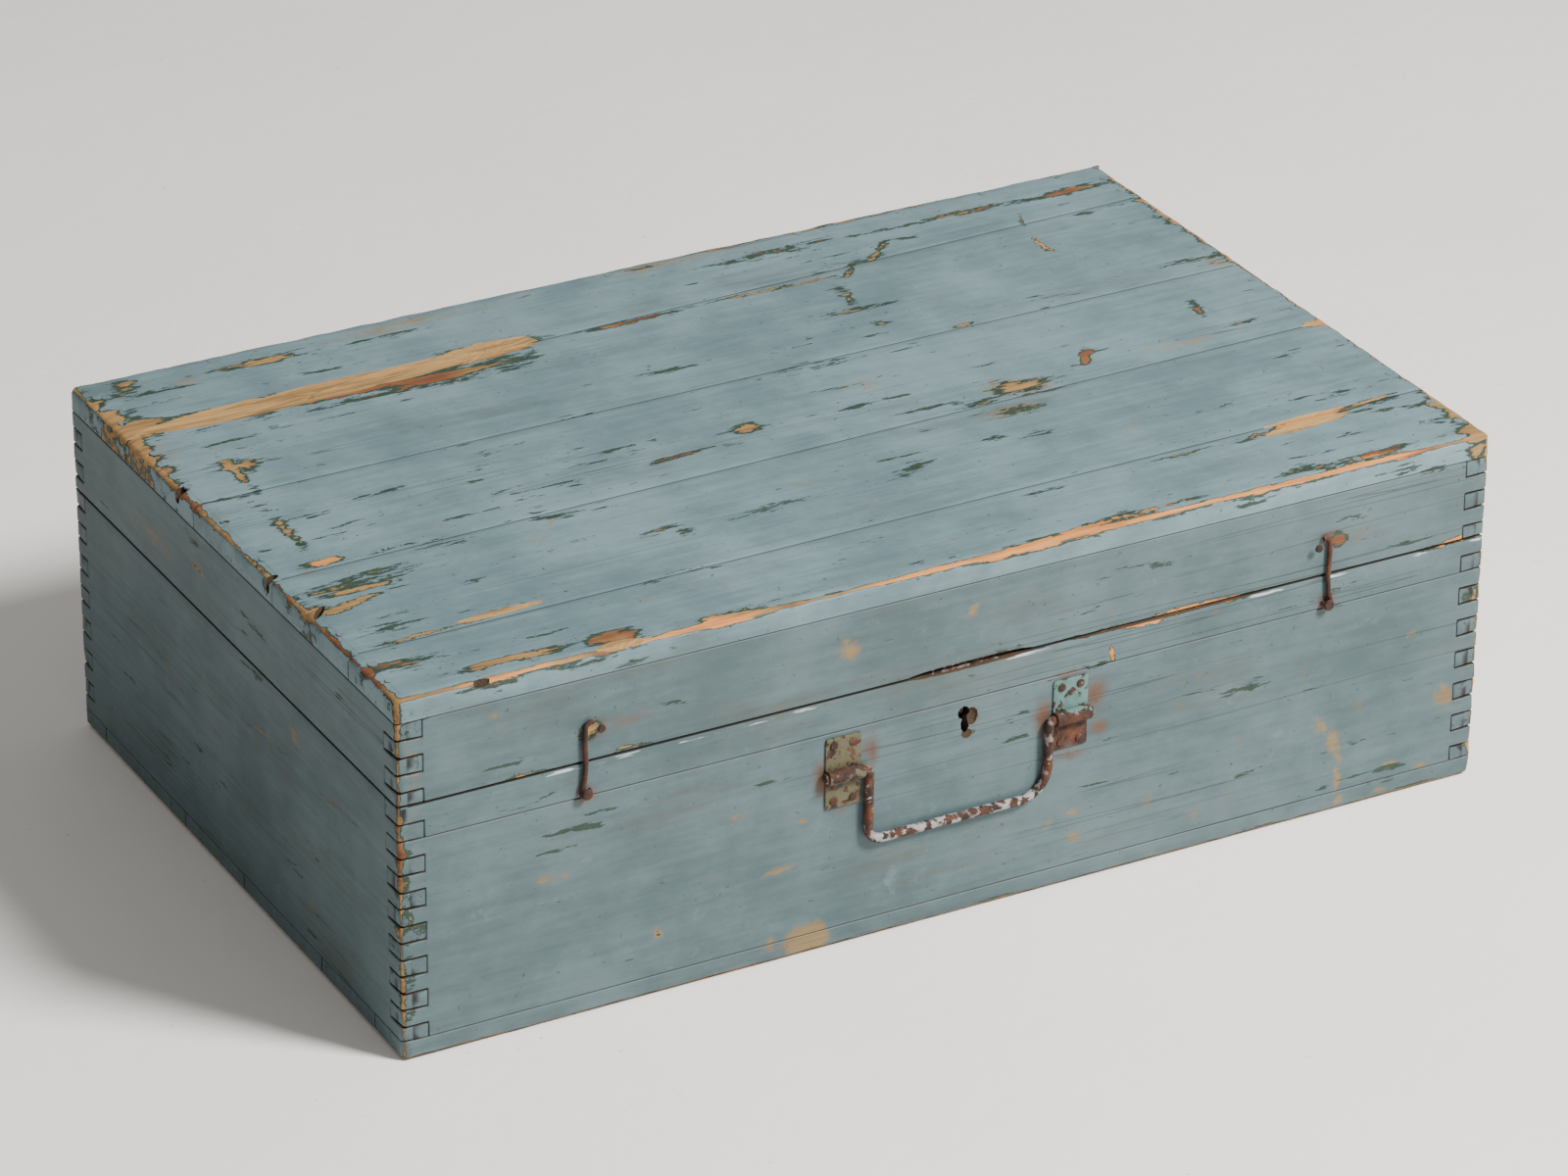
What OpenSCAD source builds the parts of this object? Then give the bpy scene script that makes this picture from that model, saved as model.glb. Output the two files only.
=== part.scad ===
// Wooden chest: a finger-jointed carcass sawn into a box and a shallow lid, with surface hinges,
// two wire hooks, a drop handle and a half-mortise chest lock.
// Millimetres. X runs along the front, the front faces -Y, +Z is up.
// The origin is on the floor, under the middle of the carcass.

/* [Carcass] */
// Length of the chest along the front
chest_w = 800; // [600:1:1100]
// Depth of the chest from front to back
chest_d = 504; // [480:1:650]
// Height of the box walls above the bottom boards
box_h = 166.5; // [150:0.5:260]
// Height of the lid frame under the top boards
lid_h = 57.3; // [50:0.1:80]
// Thickness of the four wall boards
wall_t = 18; // [17:0.5:20]
// Width of one finger of the corner joints
finger_w = 12; // [10:0.5:16]
// Gap left by the saw cut between box and lid
saw_gap = 1.2; // [1:0.1:2]

/* [Top and bottom boards] */
// Thickness of the bottom boards
bottom_t = 14.5; // [12:0.5:20]
// Thickness of the top boards
top_t = 17.2; // [14:0.1:22]
// Where the seams between the top boards meet the left end, behind the front face
top_seams_left = [67, 180, 301, 410];
// Where the seams between the top boards meet the right end, behind the front face
top_seams_right = [78, 199, 307, 439];
// Where the seams between the bottom boards lie, behind the front face
bottom_seams = [41, 120, 240, 334, 467];
// Diameter of the board nails' heads
board_nail_head_d = 6; // [5:0.5:8]
// Length of a board nail
board_nail_l = 38; // [32:1:42]

/* [Hinges] */
// Distance of each hinge from the middle
hinge_x = 250; // [150:1:260]
// Width of a hinge
hinge_w = 64; // [50:1:80]
// Height of one leaf, from the hinge axis
hinge_leaf_h = 34; // [28:1:36]
// Thickness of a leaf
hinge_leaf_t = 2; // [1.5:0.1:2.5]
// Diameter of the knuckles
hinge_knuckle_d = 8; // [7:0.5:9]
// Diameter of the hinge pin
hinge_pin_d = 4; // [3:0.5:5]

/* [Drop handle] */
// Middle of the handle along the front
handle_x = -4; // [-20:1:20]
// Height of the axis that the bail swings on
handle_z = 127.5; // [110:0.5:135]
// Distance between the two plates' middles
handle_spacing = 168; // [150:1:180]
// Diameter of the rod
bail_d = 7; // [6:0.5:8]
// Distance from the swing axis down to the grip
bail_drop = 53; // [45:1:54]
// Bend between the left leg and the grip
bail_bend_left = 9; // [8:1:24]
// Bend between the right leg and the grip
bail_bend_right = 21; // [8:1:24]
// Width of a handle plate
plate_w = 26; // [22:1:30]
// Height of a handle plate
plate_h = 51; // [44:1:52]
// Thickness of the plate's sheet metal
plate_t = 1.5; // [1:0.1:2]

/* [Wire hooks] */
// Place of the left hook's pivot along the front
hook_left_x = -272; // [-300:1:-200]
// Place of the right hook's pivot along the front
hook_right_x = 275; // [200:1:300]
// Height of the hooks' pivots
hook_z = 161; // [160:1:168]
// Diameter of the hook wire
hook_wire_d = 3.6; // [3:0.1:4]
// Distance from the pivot up to the middle of the crook
hook_reach = 45; // [42:1:50]
// How far a hook swings from upright until it holds the catch
hook_latch_angle = 8; // [7:0.5:10]

/* [Chest lock] */
// Middle of the lock along the front
lock_x = 1; // [-10:1:10]
// Height of the round end of the keyhole
keyhole_z = 147.5; // [144:0.5:150]
// Diameter of the round end of the keyhole
keyhole_d = 10; // [8:0.5:11]
// Width of the lock plate and of its bent-over edge
lock_plate_w = 90; // [80:1:100]
// Travel of the lock bolt
bolt_travel = 8; // [7:0.5:8]

/* [Hidden] */
$fn = 48;
// Heights, from the floor up
box_top = bottom_t + box_h;
lid_bottom = box_top + saw_gap;
lid_top = lid_bottom + lid_h;
chest_top = lid_top + top_t;
front_y = -chest_d / 2;
back_y = chest_d / 2;
front_inner = front_y + wall_t;
half_w = chest_w / 2;
// The front's upper board is two fingers high
front_seam_z = box_top - 2 * finger_w;
running_gap = 0.08;
cut = 1;

// Board nails
board_nail_d = 2.6;
board_nail_head_h = 1.2;
board_nail_row = [-300, -150, 0, 150, 300];
narrow_board = 60;
corner_clear = wall_t + 8;

// Hinges
hinge_stand_off = 0.3;
hinge_axis_y = back_y + hinge_knuckle_d / 2 + hinge_stand_off;
hinge_axis_z = (box_top + lid_bottom) / 2;
knuckle_count = 5;
knuckle_gap = 0.4;
hinge_screw_d = 3.6;
hinge_screw_l = 15;
hinge_screw_head_d = 7;
hinge_screw_head_h = 1.2;
hinge_screw_places = [[-22, 13], [0, 24], [22, 13]];

// Drop handle
bail_stand_off = bail_d / 2 + 0.3;
bail_y = front_y - bail_stand_off;
bail_leg_gap = 1;
bail_half = (handle_spacing - plate_w) / 2 - bail_leg_gap - bail_d / 2;
bail_pin_l = plate_w + 2 * bail_leg_gap;
plate_nail_d = 2.4;
plate_nail_head_d = 6;
plate_nail_head_h = 1;
plate_nail_l = 14;
plate_nail_places = [[-7, 20], [7, 20], [-7, -20], [7, -20]];

// Wire hooks
hook_clearance = 0.4;
hook_y = front_y - hook_clearance - hook_wire_d / 2;
hook_eye_d = 9;
hook_eye_t = hook_wire_d + hook_clearance;
hook_screw_d = 3.4;
hook_screw_head_d = 8;
catch_head_d = 6;
hook_screw_head_h = 1.8;
hook_screw_l = 15;
crook_r = hook_wire_d / 2 + hook_screw_d / 2 + hook_clearance;
crook_tip_l = 1.5;
catch_r = sqrt(hook_reach * hook_reach + crook_r * crook_r);
catch_angle = hook_latch_angle + atan(crook_r / hook_reach);
catch_dx = catch_r * sin(catch_angle);
catch_z = hook_z + catch_r * cos(catch_angle);
left_catch_x = hook_left_x + catch_dx;
right_catch_x = hook_right_x - catch_dx;

// Chest lock
lock_plate_t = 2;
lock_plate_h = 58;
selvedge_front = front_y + 2;
lock_case_w = 74;
lock_case_h = 53;
lock_case_t = 11;
lock_case_wall = 1.5;
lock_back = front_inner - lock_plate_t;
case_front = lock_back - lock_case_t;
case_bottom = box_top - lock_plate_t - lock_case_h;
keyhole_slot_w = 5;
keyhole_slot_h = 15;
drill_pin_d = 3;
drill_pin_l = 12;
loop_offsets = [-19, 21];
loop_t = 3;
loop_w = 8;
loop_drop = 16;
loop_y = lock_back - 0.8 - loop_w / 2;
loop_window_w = 4.2;
loop_window_h = 6;
loop_window_z = box_top - 9.5;
finger_reach = bolt_travel - 1;
finger_gap = 2;
finger_post_w = 4;
finger_t = 3;
finger_h = 4;
bolt_bar_h = 6;
bolt_bar_z = box_top - 23;
link_plate_w = 68;
link_plate_d = 14;
link_plate_y = front_y + 10;
ledge_w = 18;
ledge_h = 4;
ledge_clear = 0.2;
lock_screw_d = 3;
lock_screw_l = 13;
lock_screw_head_d = 6;
lock_screw_head_h = 1.2;
lock_screw_places = [[-40.5, 8], [40.5, 8], [-40.5, 50], [40.5, 50]];
link_screw_offsets = [-29, 29];

paint = "slategray";
bare_wood = "tan";
iron = "saddlebrown";

// A box given by its lowest and highest corners.
module block(lo, hi) {
    translate(lo) cube(hi - lo);
}

// A cylinder whose axis runs along +Y from y0 to y1.
module rod_y(x, z, d, y0, y1) {
    translate([x, y0, z]) rotate([-90, 0, 0]) cylinder(d = d, h = y1 - y0);
}

// ---- Corner joints ----

// One level of fingers, counted down from the top edge of a wall.
function level_top(top, i) = top - i * finger_w;
function level_bottom(top, bottom, i) = max(bottom, top - (i + 1) * finger_w);
function level_count(top, bottom) = ceil((top - bottom) / finger_w);

// The notches that a wall loses at its two ends, on every second level from first.
module end_notches(top, bottom, first, along_x) {
    reach = (along_x ? chest_w : chest_d) / 2;
    for (i = [first:2:level_count(top, bottom) - 1], side = [-1, 1])
        let (hi = i == 0 ? top + cut : level_top(top, i),
             low = level_bottom(top, bottom, i), lo = low == bottom ? bottom - cut : low,
             a = side * (reach - wall_t), b = side * (reach + cut),
             near = min(a, b), far = max(a, b), out = chest_d)
            if (along_x) block([near, -out, lo], [far, out, hi]);
            else block([-half_w - cut, near, lo], [half_w + cut, far, hi]);
}

// A front or back wall, at y0 to y1, with the notches for the end walls' fingers.
module long_wall(y0, y1, top, bottom, first) {
    difference() {
        block([-half_w, y0, bottom], [half_w, y1, top]);
        end_notches(top, bottom, first, true);
    }
}

// A left or right end wall, with the notches for the front and back walls' fingers.
module end_wall(side, top, bottom, first) {
    x0 = side < 0 ? -half_w : half_w - wall_t;
    difference() {
        block([x0, front_y, bottom], [x0 + wall_t, back_y, top]);
        end_notches(top, bottom, first, false);
    }
}

// ---- Holes that the fittings need in the wood ----

module hinge_screw_shanks(up) {
    for (side = [-1, 1], place = hinge_screw_places)
        rod_y(side * hinge_x + place[0], hinge_axis_z + up * place[1], hinge_screw_d,
              back_y - hinge_screw_l, back_y + hinge_leaf_t);
}

module plate_nail_shanks() {
    for (side = [-1, 1], place = plate_nail_places)
        rod_y(handle_x + side * handle_spacing / 2 + place[0], handle_z + 1 + place[1], plate_nail_d,
              front_y - plate_t, front_y + plate_nail_l);
}

module lock_pocket() {
    block([lock_x - lock_case_w / 2, case_front, case_bottom],
          [lock_x + lock_case_w / 2, front_inner + cut, box_top + cut]);
    block([lock_x - lock_plate_w / 2, lock_back, box_top - lock_plate_h],
          [lock_x + lock_plate_w / 2, front_inner + cut, box_top + cut]);
    block([lock_x - lock_plate_w / 2, selvedge_front, box_top - lock_plate_t],
          [lock_x + lock_plate_w / 2, front_inner + cut, box_top + cut]);
}

module keyhole(y0, y1) {
    rod_y(lock_x, keyhole_z, keyhole_d, y0, y1);
    block([lock_x - keyhole_slot_w / 2, y0, keyhole_z - keyhole_slot_h],
          [lock_x + keyhole_slot_w / 2, y1, keyhole_z]);
}

module lock_screw_shanks() {
    for (place = lock_screw_places)
        rod_y(lock_x + place[0], box_top - place[1], lock_screw_d, front_inner - lock_screw_l,
              front_inner);
}

// ---- Box ----

module box_front_wall() {
    difference() {
        long_wall(front_y, front_inner, box_top, bottom_t, 1);
        lock_pocket();
        keyhole(front_y - cut, front_inner);
        lock_screw_shanks();
        plate_nail_shanks();
        bottom_nail_shapes();
        for (x = [hook_left_x, hook_right_x])
            rod_y(x, hook_z, hook_screw_d, front_y - cut, front_y + hook_screw_l);
    }
}

module box_front_upper() {
    color(paint) intersection() {
        box_front_wall();
        block([-chest_w, -chest_d, front_seam_z], [chest_w, chest_d, box_top + cut]);
    }
}

module box_front_lower() {
    color(paint) intersection() {
        box_front_wall();
        block([-chest_w, -chest_d, bottom_t - cut], [chest_w, chest_d, front_seam_z]);
    }
}

module box_back() {
    color(paint) difference() {
        long_wall(back_y - wall_t, back_y, box_top, bottom_t, 1);
        hinge_screw_shanks(-1);
        bottom_nail_shapes();
    }
}

module box_end(side) {
    color(paint) difference() {
        end_wall(side, box_top, bottom_t, 0);
        bottom_nail_shapes();
    }
}

// ---- Boards laid side by side, nailed down all round ----

// The seams of one set, at the left end and at the right end.
top_seam_pair = [top_seams_left, top_seams_right];
bottom_seam_pair = [bottom_seams, bottom_seams];

function board_edges(seams, end) = concat([0], seams[end], [chest_d]);

// Board i of one set, tapered where its two seams are not parallel.
module laid_board(seams, i, z0, z1) {
    left = board_edges(seams, 0);
    right = board_edges(seams, 1);
    translate([0, front_y, z0]) linear_extrude(z1 - z0)
        polygon([[-half_w, left[i - 1]], [half_w, right[i - 1]], [half_w, right[i]], [-half_w, left[i]]]);
}

// Distances behind the front face of the nails at the ends of board i: one in a narrow board,
// else two, all clear of the corner joints.
function nail_depths(edges, i) =
    let (w = edges[i] - edges[i - 1], shares = w < narrow_board ? [0.5] : [0.25, 0.75])
        [for (s = shares) min(max(edges[i - 1] + w * s, corner_clear), chest_d - corner_clear)];

// Where the nails of one set of boards stand, seen from above.
function nail_places(seams) = concat(
    [for (end = [0, 1], i = [1:len(seams[0]) + 1], depth = nail_depths(board_edges(seams, end), i))
        [(2 * end - 1) * (half_w - wall_t / 2), front_y + depth]],
    [for (x = board_nail_row, side = [-1, 1]) [x, side * (back_y - wall_t / 2)]]);

// A nail that points up, with the outer face of its head at the origin.
module board_nail() {
    cylinder(d = board_nail_head_d, h = board_nail_head_h);
    cylinder(d = board_nail_d, h = board_nail_l);
}

module bottom_nail_shapes() {
    for (place = nail_places(bottom_seam_pair)) translate(place) board_nail();
}

module top_nail_shapes() {
    for (place = nail_places(top_seam_pair)) translate([place[0], place[1], chest_top])
        mirror([0, 0, 1]) board_nail();
}

module bottom_board(i) {
    color(bare_wood) difference() {
        laid_board(bottom_seam_pair, i, 0, bottom_t);
        bottom_nail_shapes();
    }
}

module bottom_nails() {
    color(iron) bottom_nail_shapes();
}

module top_board(i) {
    color(paint) difference() {
        laid_board(top_seam_pair, i, lid_top, chest_top);
        top_nail_shapes();
    }
}

module top_nails() {
    color(iron) top_nail_shapes();
}

// ---- Lid frame ----

module lid_front() {
    color(paint) difference() {
        long_wall(front_y, front_inner, lid_top, lid_bottom, 0);
        top_nail_shapes();
        link_plate_recess();
        link_screw_shanks();
        for (x = [left_catch_x, right_catch_x])
            rod_y(x, catch_z, hook_screw_d, front_y - cut, front_y + hook_screw_l);
    }
}

module lid_back() {
    color(paint) difference() {
        long_wall(back_y - wall_t, back_y, lid_top, lid_bottom, 0);
        hinge_screw_shanks(1);
        top_nail_shapes();
    }
}

module lid_end(side) {
    color(paint) difference() {
        end_wall(side, lid_top, lid_bottom, 1);
        top_nail_shapes();
    }
}

// ---- Hinges: flat leaves screwed to the back, with the knuckles standing behind the gap ----

module hinge_cylinder(x0, x1, d) {
    translate([x0, hinge_axis_y, hinge_axis_z]) rotate([0, 90, 0]) cylinder(d = d, h = x1 - x0);
}

// up is 1 for the lid's leaf and -1 for the box's. first is the leaf's first knuckle.
module hinge_leaf(side, up, first, bore_d) {
    x0 = side * hinge_x - hinge_w / 2;
    knuckle_w = hinge_w / knuckle_count;
    near = hinge_knuckle_d / 2 + 2 * hinge_stand_off;
    far_z = hinge_axis_z + up * hinge_leaf_h;
    near_z = hinge_axis_z + up * near;
    color(iron) difference() {
        union() {
            block([x0, back_y, min(near_z, far_z)],
                  [x0 + hinge_w, back_y + hinge_leaf_t, max(near_z, far_z)]);
            for (i = [first:2:knuckle_count - 1])
                let (a = x0 + i * knuckle_w + knuckle_gap / 2, b = a + knuckle_w - knuckle_gap) {
                    hinge_cylinder(a, b, hinge_knuckle_d);
                    block([a, back_y, min(near_z, hinge_axis_z) - (up < 0 ? cut : 0)],
                          [b, back_y + hinge_leaf_t, max(near_z, hinge_axis_z) + (up > 0 ? cut : 0)]);
                }
        }
        hinge_cylinder(x0 - cut, x0 + hinge_w + cut, bore_d);
        hinge_screw_shanks(up);
    }
}

module hinge_pin(side) {
    color(iron) hinge_cylinder(side * hinge_x - hinge_w / 2 - 1.5, side * hinge_x + hinge_w / 2 + 1.5,
                               hinge_pin_d);
}

module hinge_screws(up) {
    color(iron) {
        hinge_screw_shanks(up);
        for (side = [-1, 1], place = hinge_screw_places)
            rod_y(side * hinge_x + place[0], hinge_axis_z + up * place[1], hinge_screw_head_d,
                  back_y + hinge_leaf_t, back_y + hinge_leaf_t + hinge_screw_head_h);
    }
}

// ---- Drop handle ----

// A strap of sheet metal with a half-round loop pressed across it for the bail's pin.
module handle_plate(side) {
    x = handle_x + side * handle_spacing / 2 - plate_w / 2;
    loop_r = bail_d / 2 + running_gap;
    color(iron) difference() {
        union() {
            block([x, front_y - plate_t, handle_z + 1 - plate_h / 2],
                  [x + plate_w, front_y, handle_z + 1 + plate_h / 2]);
            intersection() {
                translate([x, bail_y, handle_z]) rotate([0, 90, 0])
                    cylinder(r = loop_r + plate_t, h = plate_w);
                block([x, -chest_d, handle_z - plate_h], [x + plate_w, front_y, handle_z + plate_h]);
            }
        }
        translate([x - cut, bail_y, handle_z]) rotate([0, 90, 0])
            cylinder(r = loop_r, h = plate_w + 2 * cut);
        block([x - cut, bail_y, handle_z - loop_r],
              [x + plate_w + cut, front_y + cut, handle_z + loop_r]);
        plate_nail_shanks();
    }
}

module handle_plate_nails() {
    color(iron) {
        plate_nail_shanks();
        for (side = [-1, 1], place = plate_nail_places)
            rod_y(handle_x + side * handle_spacing / 2 + place[0], handle_z + 1 + place[1],
                  plate_nail_head_d, front_y - plate_t - plate_nail_head_h, front_y - plate_t);
    }
}

// Bent wire is drawn flat, with its bends about +Z, and then stood up against the front.
module wire_bend(centre, r, d, from, to) {
    translate(centre) rotate([0, 0, from]) rotate_extrude(angle = to - from) translate([r, 0])
        circle(d = d);
}

module wire_across(x0, x1, y, d) {
    translate([x0, y, 0]) rotate([0, 90, 0]) cylinder(d = d, h = x1 - x0);
}

module wire_up(x, y0, y1, d) {
    translate([x, y0, 0]) rotate([-90, 0, 0]) cylinder(d = d, h = y1 - y0);
}

// One leg of the bail, from the swing axis to the bend at the grip, with its pin.
module bail_leg(bend_r) {
    top_bend = bail_d / 2 + bail_leg_gap;
    wire_across(bail_half + top_bend, bail_half + top_bend + bail_pin_l, 0, bail_d);
    wire_bend([bail_half + top_bend, -top_bend], top_bend, bail_d, 90, 180);
    wire_up(bail_half, -bail_drop + bend_r, -top_bend, bail_d);
    wire_bend([bail_half - bend_r, -bail_drop + bend_r], bend_r, bail_d, 270, 360);
}

module handle_bail() {
    color(iron) translate([handle_x, bail_y, handle_z]) rotate([90, 0, 0]) {
        bail_leg(bail_bend_right);
        mirror([1, 0, 0]) bail_leg(bail_bend_left);
        wire_across(bail_bend_left - bail_half, bail_half - bail_bend_right, -bail_drop, bail_d);
    }
}

// ---- Wire hooks ----

// An eye, a straight shank and a crook that opens towards +X.
module wire_hook() {
    difference() {
        union() {
            cylinder(d = hook_eye_d, h = hook_eye_t, center = true);
            wire_up(0, hook_screw_d, hook_reach, hook_wire_d);
        }
        cylinder(d = hook_screw_d + 2 * running_gap, h = 2 * hook_wire_d, center = true);
    }
    wire_bend([crook_r, hook_reach], crook_r, hook_wire_d, 90, 180);
    wire_across(crook_r, crook_r + crook_tip_l, hook_reach + crook_r, hook_wire_d);
}

module hook_left() {
    color(iron) translate([hook_left_x, hook_y, hook_z]) rotate([90, 0, 0]) wire_hook();
}

module hook_right() {
    color(iron) translate([hook_right_x, hook_y, hook_z]) rotate([90, 0, 0]) mirror([1, 0, 0])
        wire_hook();
}

// A round-head screw in the front that leaves room for the wire under its head.
module hook_screw(x, z, head_d) {
    head_y = hook_y - hook_wire_d / 2 - hook_clearance;
    color(iron) {
        rod_y(x, z, hook_screw_d, head_y, front_y + hook_screw_l);
        rod_y(x, z, head_d, head_y - hook_screw_head_h, head_y);
    }
}

module hook_pivot_screws() {
    for (x = [hook_left_x, hook_right_x]) hook_screw(x, hook_z, hook_screw_head_d);
}

module hook_catch_screws() {
    for (x = [left_catch_x, right_catch_x]) hook_screw(x, catch_z, catch_head_d);
}

// ---- Chest lock ----

// The back plate, bent over the top edge of the front, with a slot for each loop.
module lock_plate() {
    x0 = lock_x - lock_plate_w / 2;
    x1 = lock_x + lock_plate_w / 2;
    color(iron) difference() {
        union() {
            block([x0, lock_back, box_top - lock_plate_h], [x1, front_inner, box_top]);
            block([x0, selvedge_front, box_top - lock_plate_t], [x1, front_inner, box_top]);
        }
        for (offset = loop_offsets)
            block([lock_x + offset - loop_t / 2 - 1, loop_y - loop_w / 2 - 1, box_top - 2 * lock_plate_t],
                  [lock_x + offset + loop_t / 2 + 1, lock_back, box_top + cut]);
        lock_screw_shanks();
    }
}

// The cap that closes the works towards the wood, with the ledges that carry the bolt.
module lock_case() {
    x0 = lock_x - lock_case_w / 2;
    x1 = lock_x + lock_case_w / 2;
    wall = lock_case_wall;
    top = box_top - lock_plate_t;
    color(iron) {
        difference() {
            block([x0, case_front, case_bottom], [x1, lock_back, top]);
            block([x0 + wall, case_front + wall, case_bottom + wall], [x1 - wall, front_inner, top + cut]);
            keyhole(case_front - cut, lock_back);
        }
        for (edges = [[x0 + wall, x0 + wall + ledge_w], [x1 - wall - ledge_w, x1 - wall]])
            block([edges[0], case_front + wall, bolt_bar_z - ledge_h],
                  [edges[1], lock_back - ledge_clear, bolt_bar_z - ledge_clear]);
    }
}

module lock_drill_pin() {
    color(iron) rod_y(lock_x, keyhole_z, drill_pin_d, lock_back - drill_pin_l, lock_back);
}

// A bar with two bent-over fingers that point along +X, into the loops' windows.
module lock_bolt() {
    tips = [for (offset = loop_offsets) lock_x + offset - loop_t / 2 - finger_gap];
    window_mid = loop_window_z;
    color(iron) {
        block([tips[0] - finger_reach - finger_post_w, case_front + lock_case_wall + ledge_clear,
               bolt_bar_z],
              [tips[1] + finger_t, lock_back - ledge_clear, bolt_bar_z + bolt_bar_h]);
        for (tip = tips) {
            post = tip - finger_reach;
            block([post - finger_post_w, loop_y - finger_t / 2, bolt_bar_z],
                  [post, loop_y + finger_t / 2, window_mid + finger_h / 2]);
            block([post - finger_post_w, loop_y - finger_t / 2, window_mid - finger_h / 2],
                  [tip, loop_y + finger_t / 2, window_mid + finger_h / 2]);
        }
    }
}

module lock_screws() {
    color(iron) {
        lock_screw_shanks();
        for (place = lock_screw_places)
            rod_y(lock_x + place[0], box_top - place[1], lock_screw_head_d, front_inner,
                  front_inner + lock_screw_head_h);
    }
}

module link_plate_recess() {
    block([lock_x - link_plate_w / 2, link_plate_y - link_plate_d / 2, lid_bottom - cut],
          [lock_x + link_plate_w / 2, link_plate_y + link_plate_d / 2, lid_bottom + lock_plate_t]);
}

// Countersunk screws: the heads lie in the plate, flush with its lower face.
module link_screw_shanks() {
    for (offset = link_screw_offsets) translate([lock_x + offset, link_plate_y, lid_bottom])
        cylinder(d = lock_screw_d, h = lock_screw_l);
}

module link_screw_heads() {
    for (offset = link_screw_offsets) translate([lock_x + offset, link_plate_y, lid_bottom])
        cylinder(d = lock_screw_head_d, h = lock_screw_head_h);
}

module link_plate() {
    color(iron) {
        difference() {
            block([lock_x - link_plate_w / 2, link_plate_y - link_plate_d / 2, lid_bottom],
                  [lock_x + link_plate_w / 2, link_plate_y + link_plate_d / 2, lid_bottom + lock_plate_t]);
            link_screw_shanks();
            link_screw_heads();
        }
        for (offset = loop_offsets) difference() {
            block([lock_x + offset - loop_t / 2, loop_y - loop_w / 2, lid_bottom - loop_drop],
                  [lock_x + offset + loop_t / 2, loop_y + loop_w / 2, lid_bottom + lock_plate_t]);
            block([lock_x + offset - loop_t, loop_y - loop_window_w / 2, loop_window_z - loop_window_h / 2],
                  [lock_x + offset + loop_t, loop_y + loop_window_w / 2, loop_window_z + loop_window_h / 2]);
        }
    }
}

module link_plate_screws() {
    color(iron) {
        link_screw_shanks();
        link_screw_heads();
    }
}

box_front_upper();
box_front_lower();
box_back();
box_end(-1);  // box_left
box_end(1);  // box_right
bottom_board(1);  // bottom_board_1
bottom_board(2);  // bottom_board_2
bottom_board(3);  // bottom_board_3
bottom_board(4);  // bottom_board_4
bottom_board(5);  // bottom_board_5
bottom_board(6);  // bottom_board_6
bottom_nails();
lid_front();
lid_back();
lid_end(-1);  // lid_left
lid_end(1);  // lid_right
top_board(1);  // top_board_1
top_board(2);  // top_board_2
top_board(3);  // top_board_3
top_board(4);  // top_board_4
top_board(5);  // top_board_5
top_nails();
hinge_leaf(-1, -1, 0, hinge_pin_d);  // hinge_box_leaf_left
hinge_leaf(1, -1, 0, hinge_pin_d);  // hinge_box_leaf_right
hinge_leaf(-1, 1, 1, hinge_pin_d + 2 * running_gap);  // hinge_lid_leaf_left
hinge_leaf(1, 1, 1, hinge_pin_d + 2 * running_gap);  // hinge_lid_leaf_right
hinge_pin(-1);  // hinge_pin_left
hinge_pin(1);  // hinge_pin_right
hinge_screws(-1);  // hinge_box_screws
hinge_screws(1);  // hinge_lid_screws
handle_plate(-1);  // handle_plate_left
handle_plate(1);  // handle_plate_right
handle_plate_nails();
handle_bail();
hook_left();
hook_right();
hook_pivot_screws();
hook_catch_screws();
lock_plate();
lock_case();
lock_drill_pin();
lock_bolt();
lock_screws();
link_plate();
link_plate_screws();
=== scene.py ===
import math

import bmesh
import bpy
from mathutils import Euler, Matrix, Vector


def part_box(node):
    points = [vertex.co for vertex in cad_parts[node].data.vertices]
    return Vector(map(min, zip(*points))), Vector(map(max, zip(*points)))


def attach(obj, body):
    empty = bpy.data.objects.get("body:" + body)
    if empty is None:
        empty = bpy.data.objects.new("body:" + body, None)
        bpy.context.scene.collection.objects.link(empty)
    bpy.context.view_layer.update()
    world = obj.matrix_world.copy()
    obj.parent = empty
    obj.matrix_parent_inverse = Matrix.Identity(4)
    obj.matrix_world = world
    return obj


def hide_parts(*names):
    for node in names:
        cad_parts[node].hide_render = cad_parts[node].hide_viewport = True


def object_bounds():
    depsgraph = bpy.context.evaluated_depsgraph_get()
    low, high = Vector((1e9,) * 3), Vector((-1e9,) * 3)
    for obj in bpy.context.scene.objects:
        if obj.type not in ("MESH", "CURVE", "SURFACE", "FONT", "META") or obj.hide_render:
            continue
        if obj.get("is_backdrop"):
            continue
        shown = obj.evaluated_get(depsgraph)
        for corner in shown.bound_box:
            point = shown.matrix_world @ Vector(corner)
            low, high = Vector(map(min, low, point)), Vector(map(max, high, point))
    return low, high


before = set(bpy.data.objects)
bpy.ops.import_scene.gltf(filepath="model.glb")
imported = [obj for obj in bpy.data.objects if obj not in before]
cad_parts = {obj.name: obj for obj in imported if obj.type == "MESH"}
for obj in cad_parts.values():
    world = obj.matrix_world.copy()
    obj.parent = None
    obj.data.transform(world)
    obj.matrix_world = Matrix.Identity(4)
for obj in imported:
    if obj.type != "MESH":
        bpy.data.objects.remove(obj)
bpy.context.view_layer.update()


# ---- View, light and floor ----
# The chest stands on a plain pale floor and is seen from the front left, over the lid, through a
# long lens. One large soft lamp stands high on the right, and a pale sky fills the shadows.
chest_low, chest_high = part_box("top_board_1")[0].copy(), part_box("top_board_5")[1].copy()
chest_low.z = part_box("bottom_board_1")[0].z
view_azimuth, view_elevation, view_roll = math.radians(-28.79), math.radians(27.23), math.radians(0.42)
view_distance = 4.0
look_at = Vector((-0.1314, chest_low.y, 0.2693))
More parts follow.
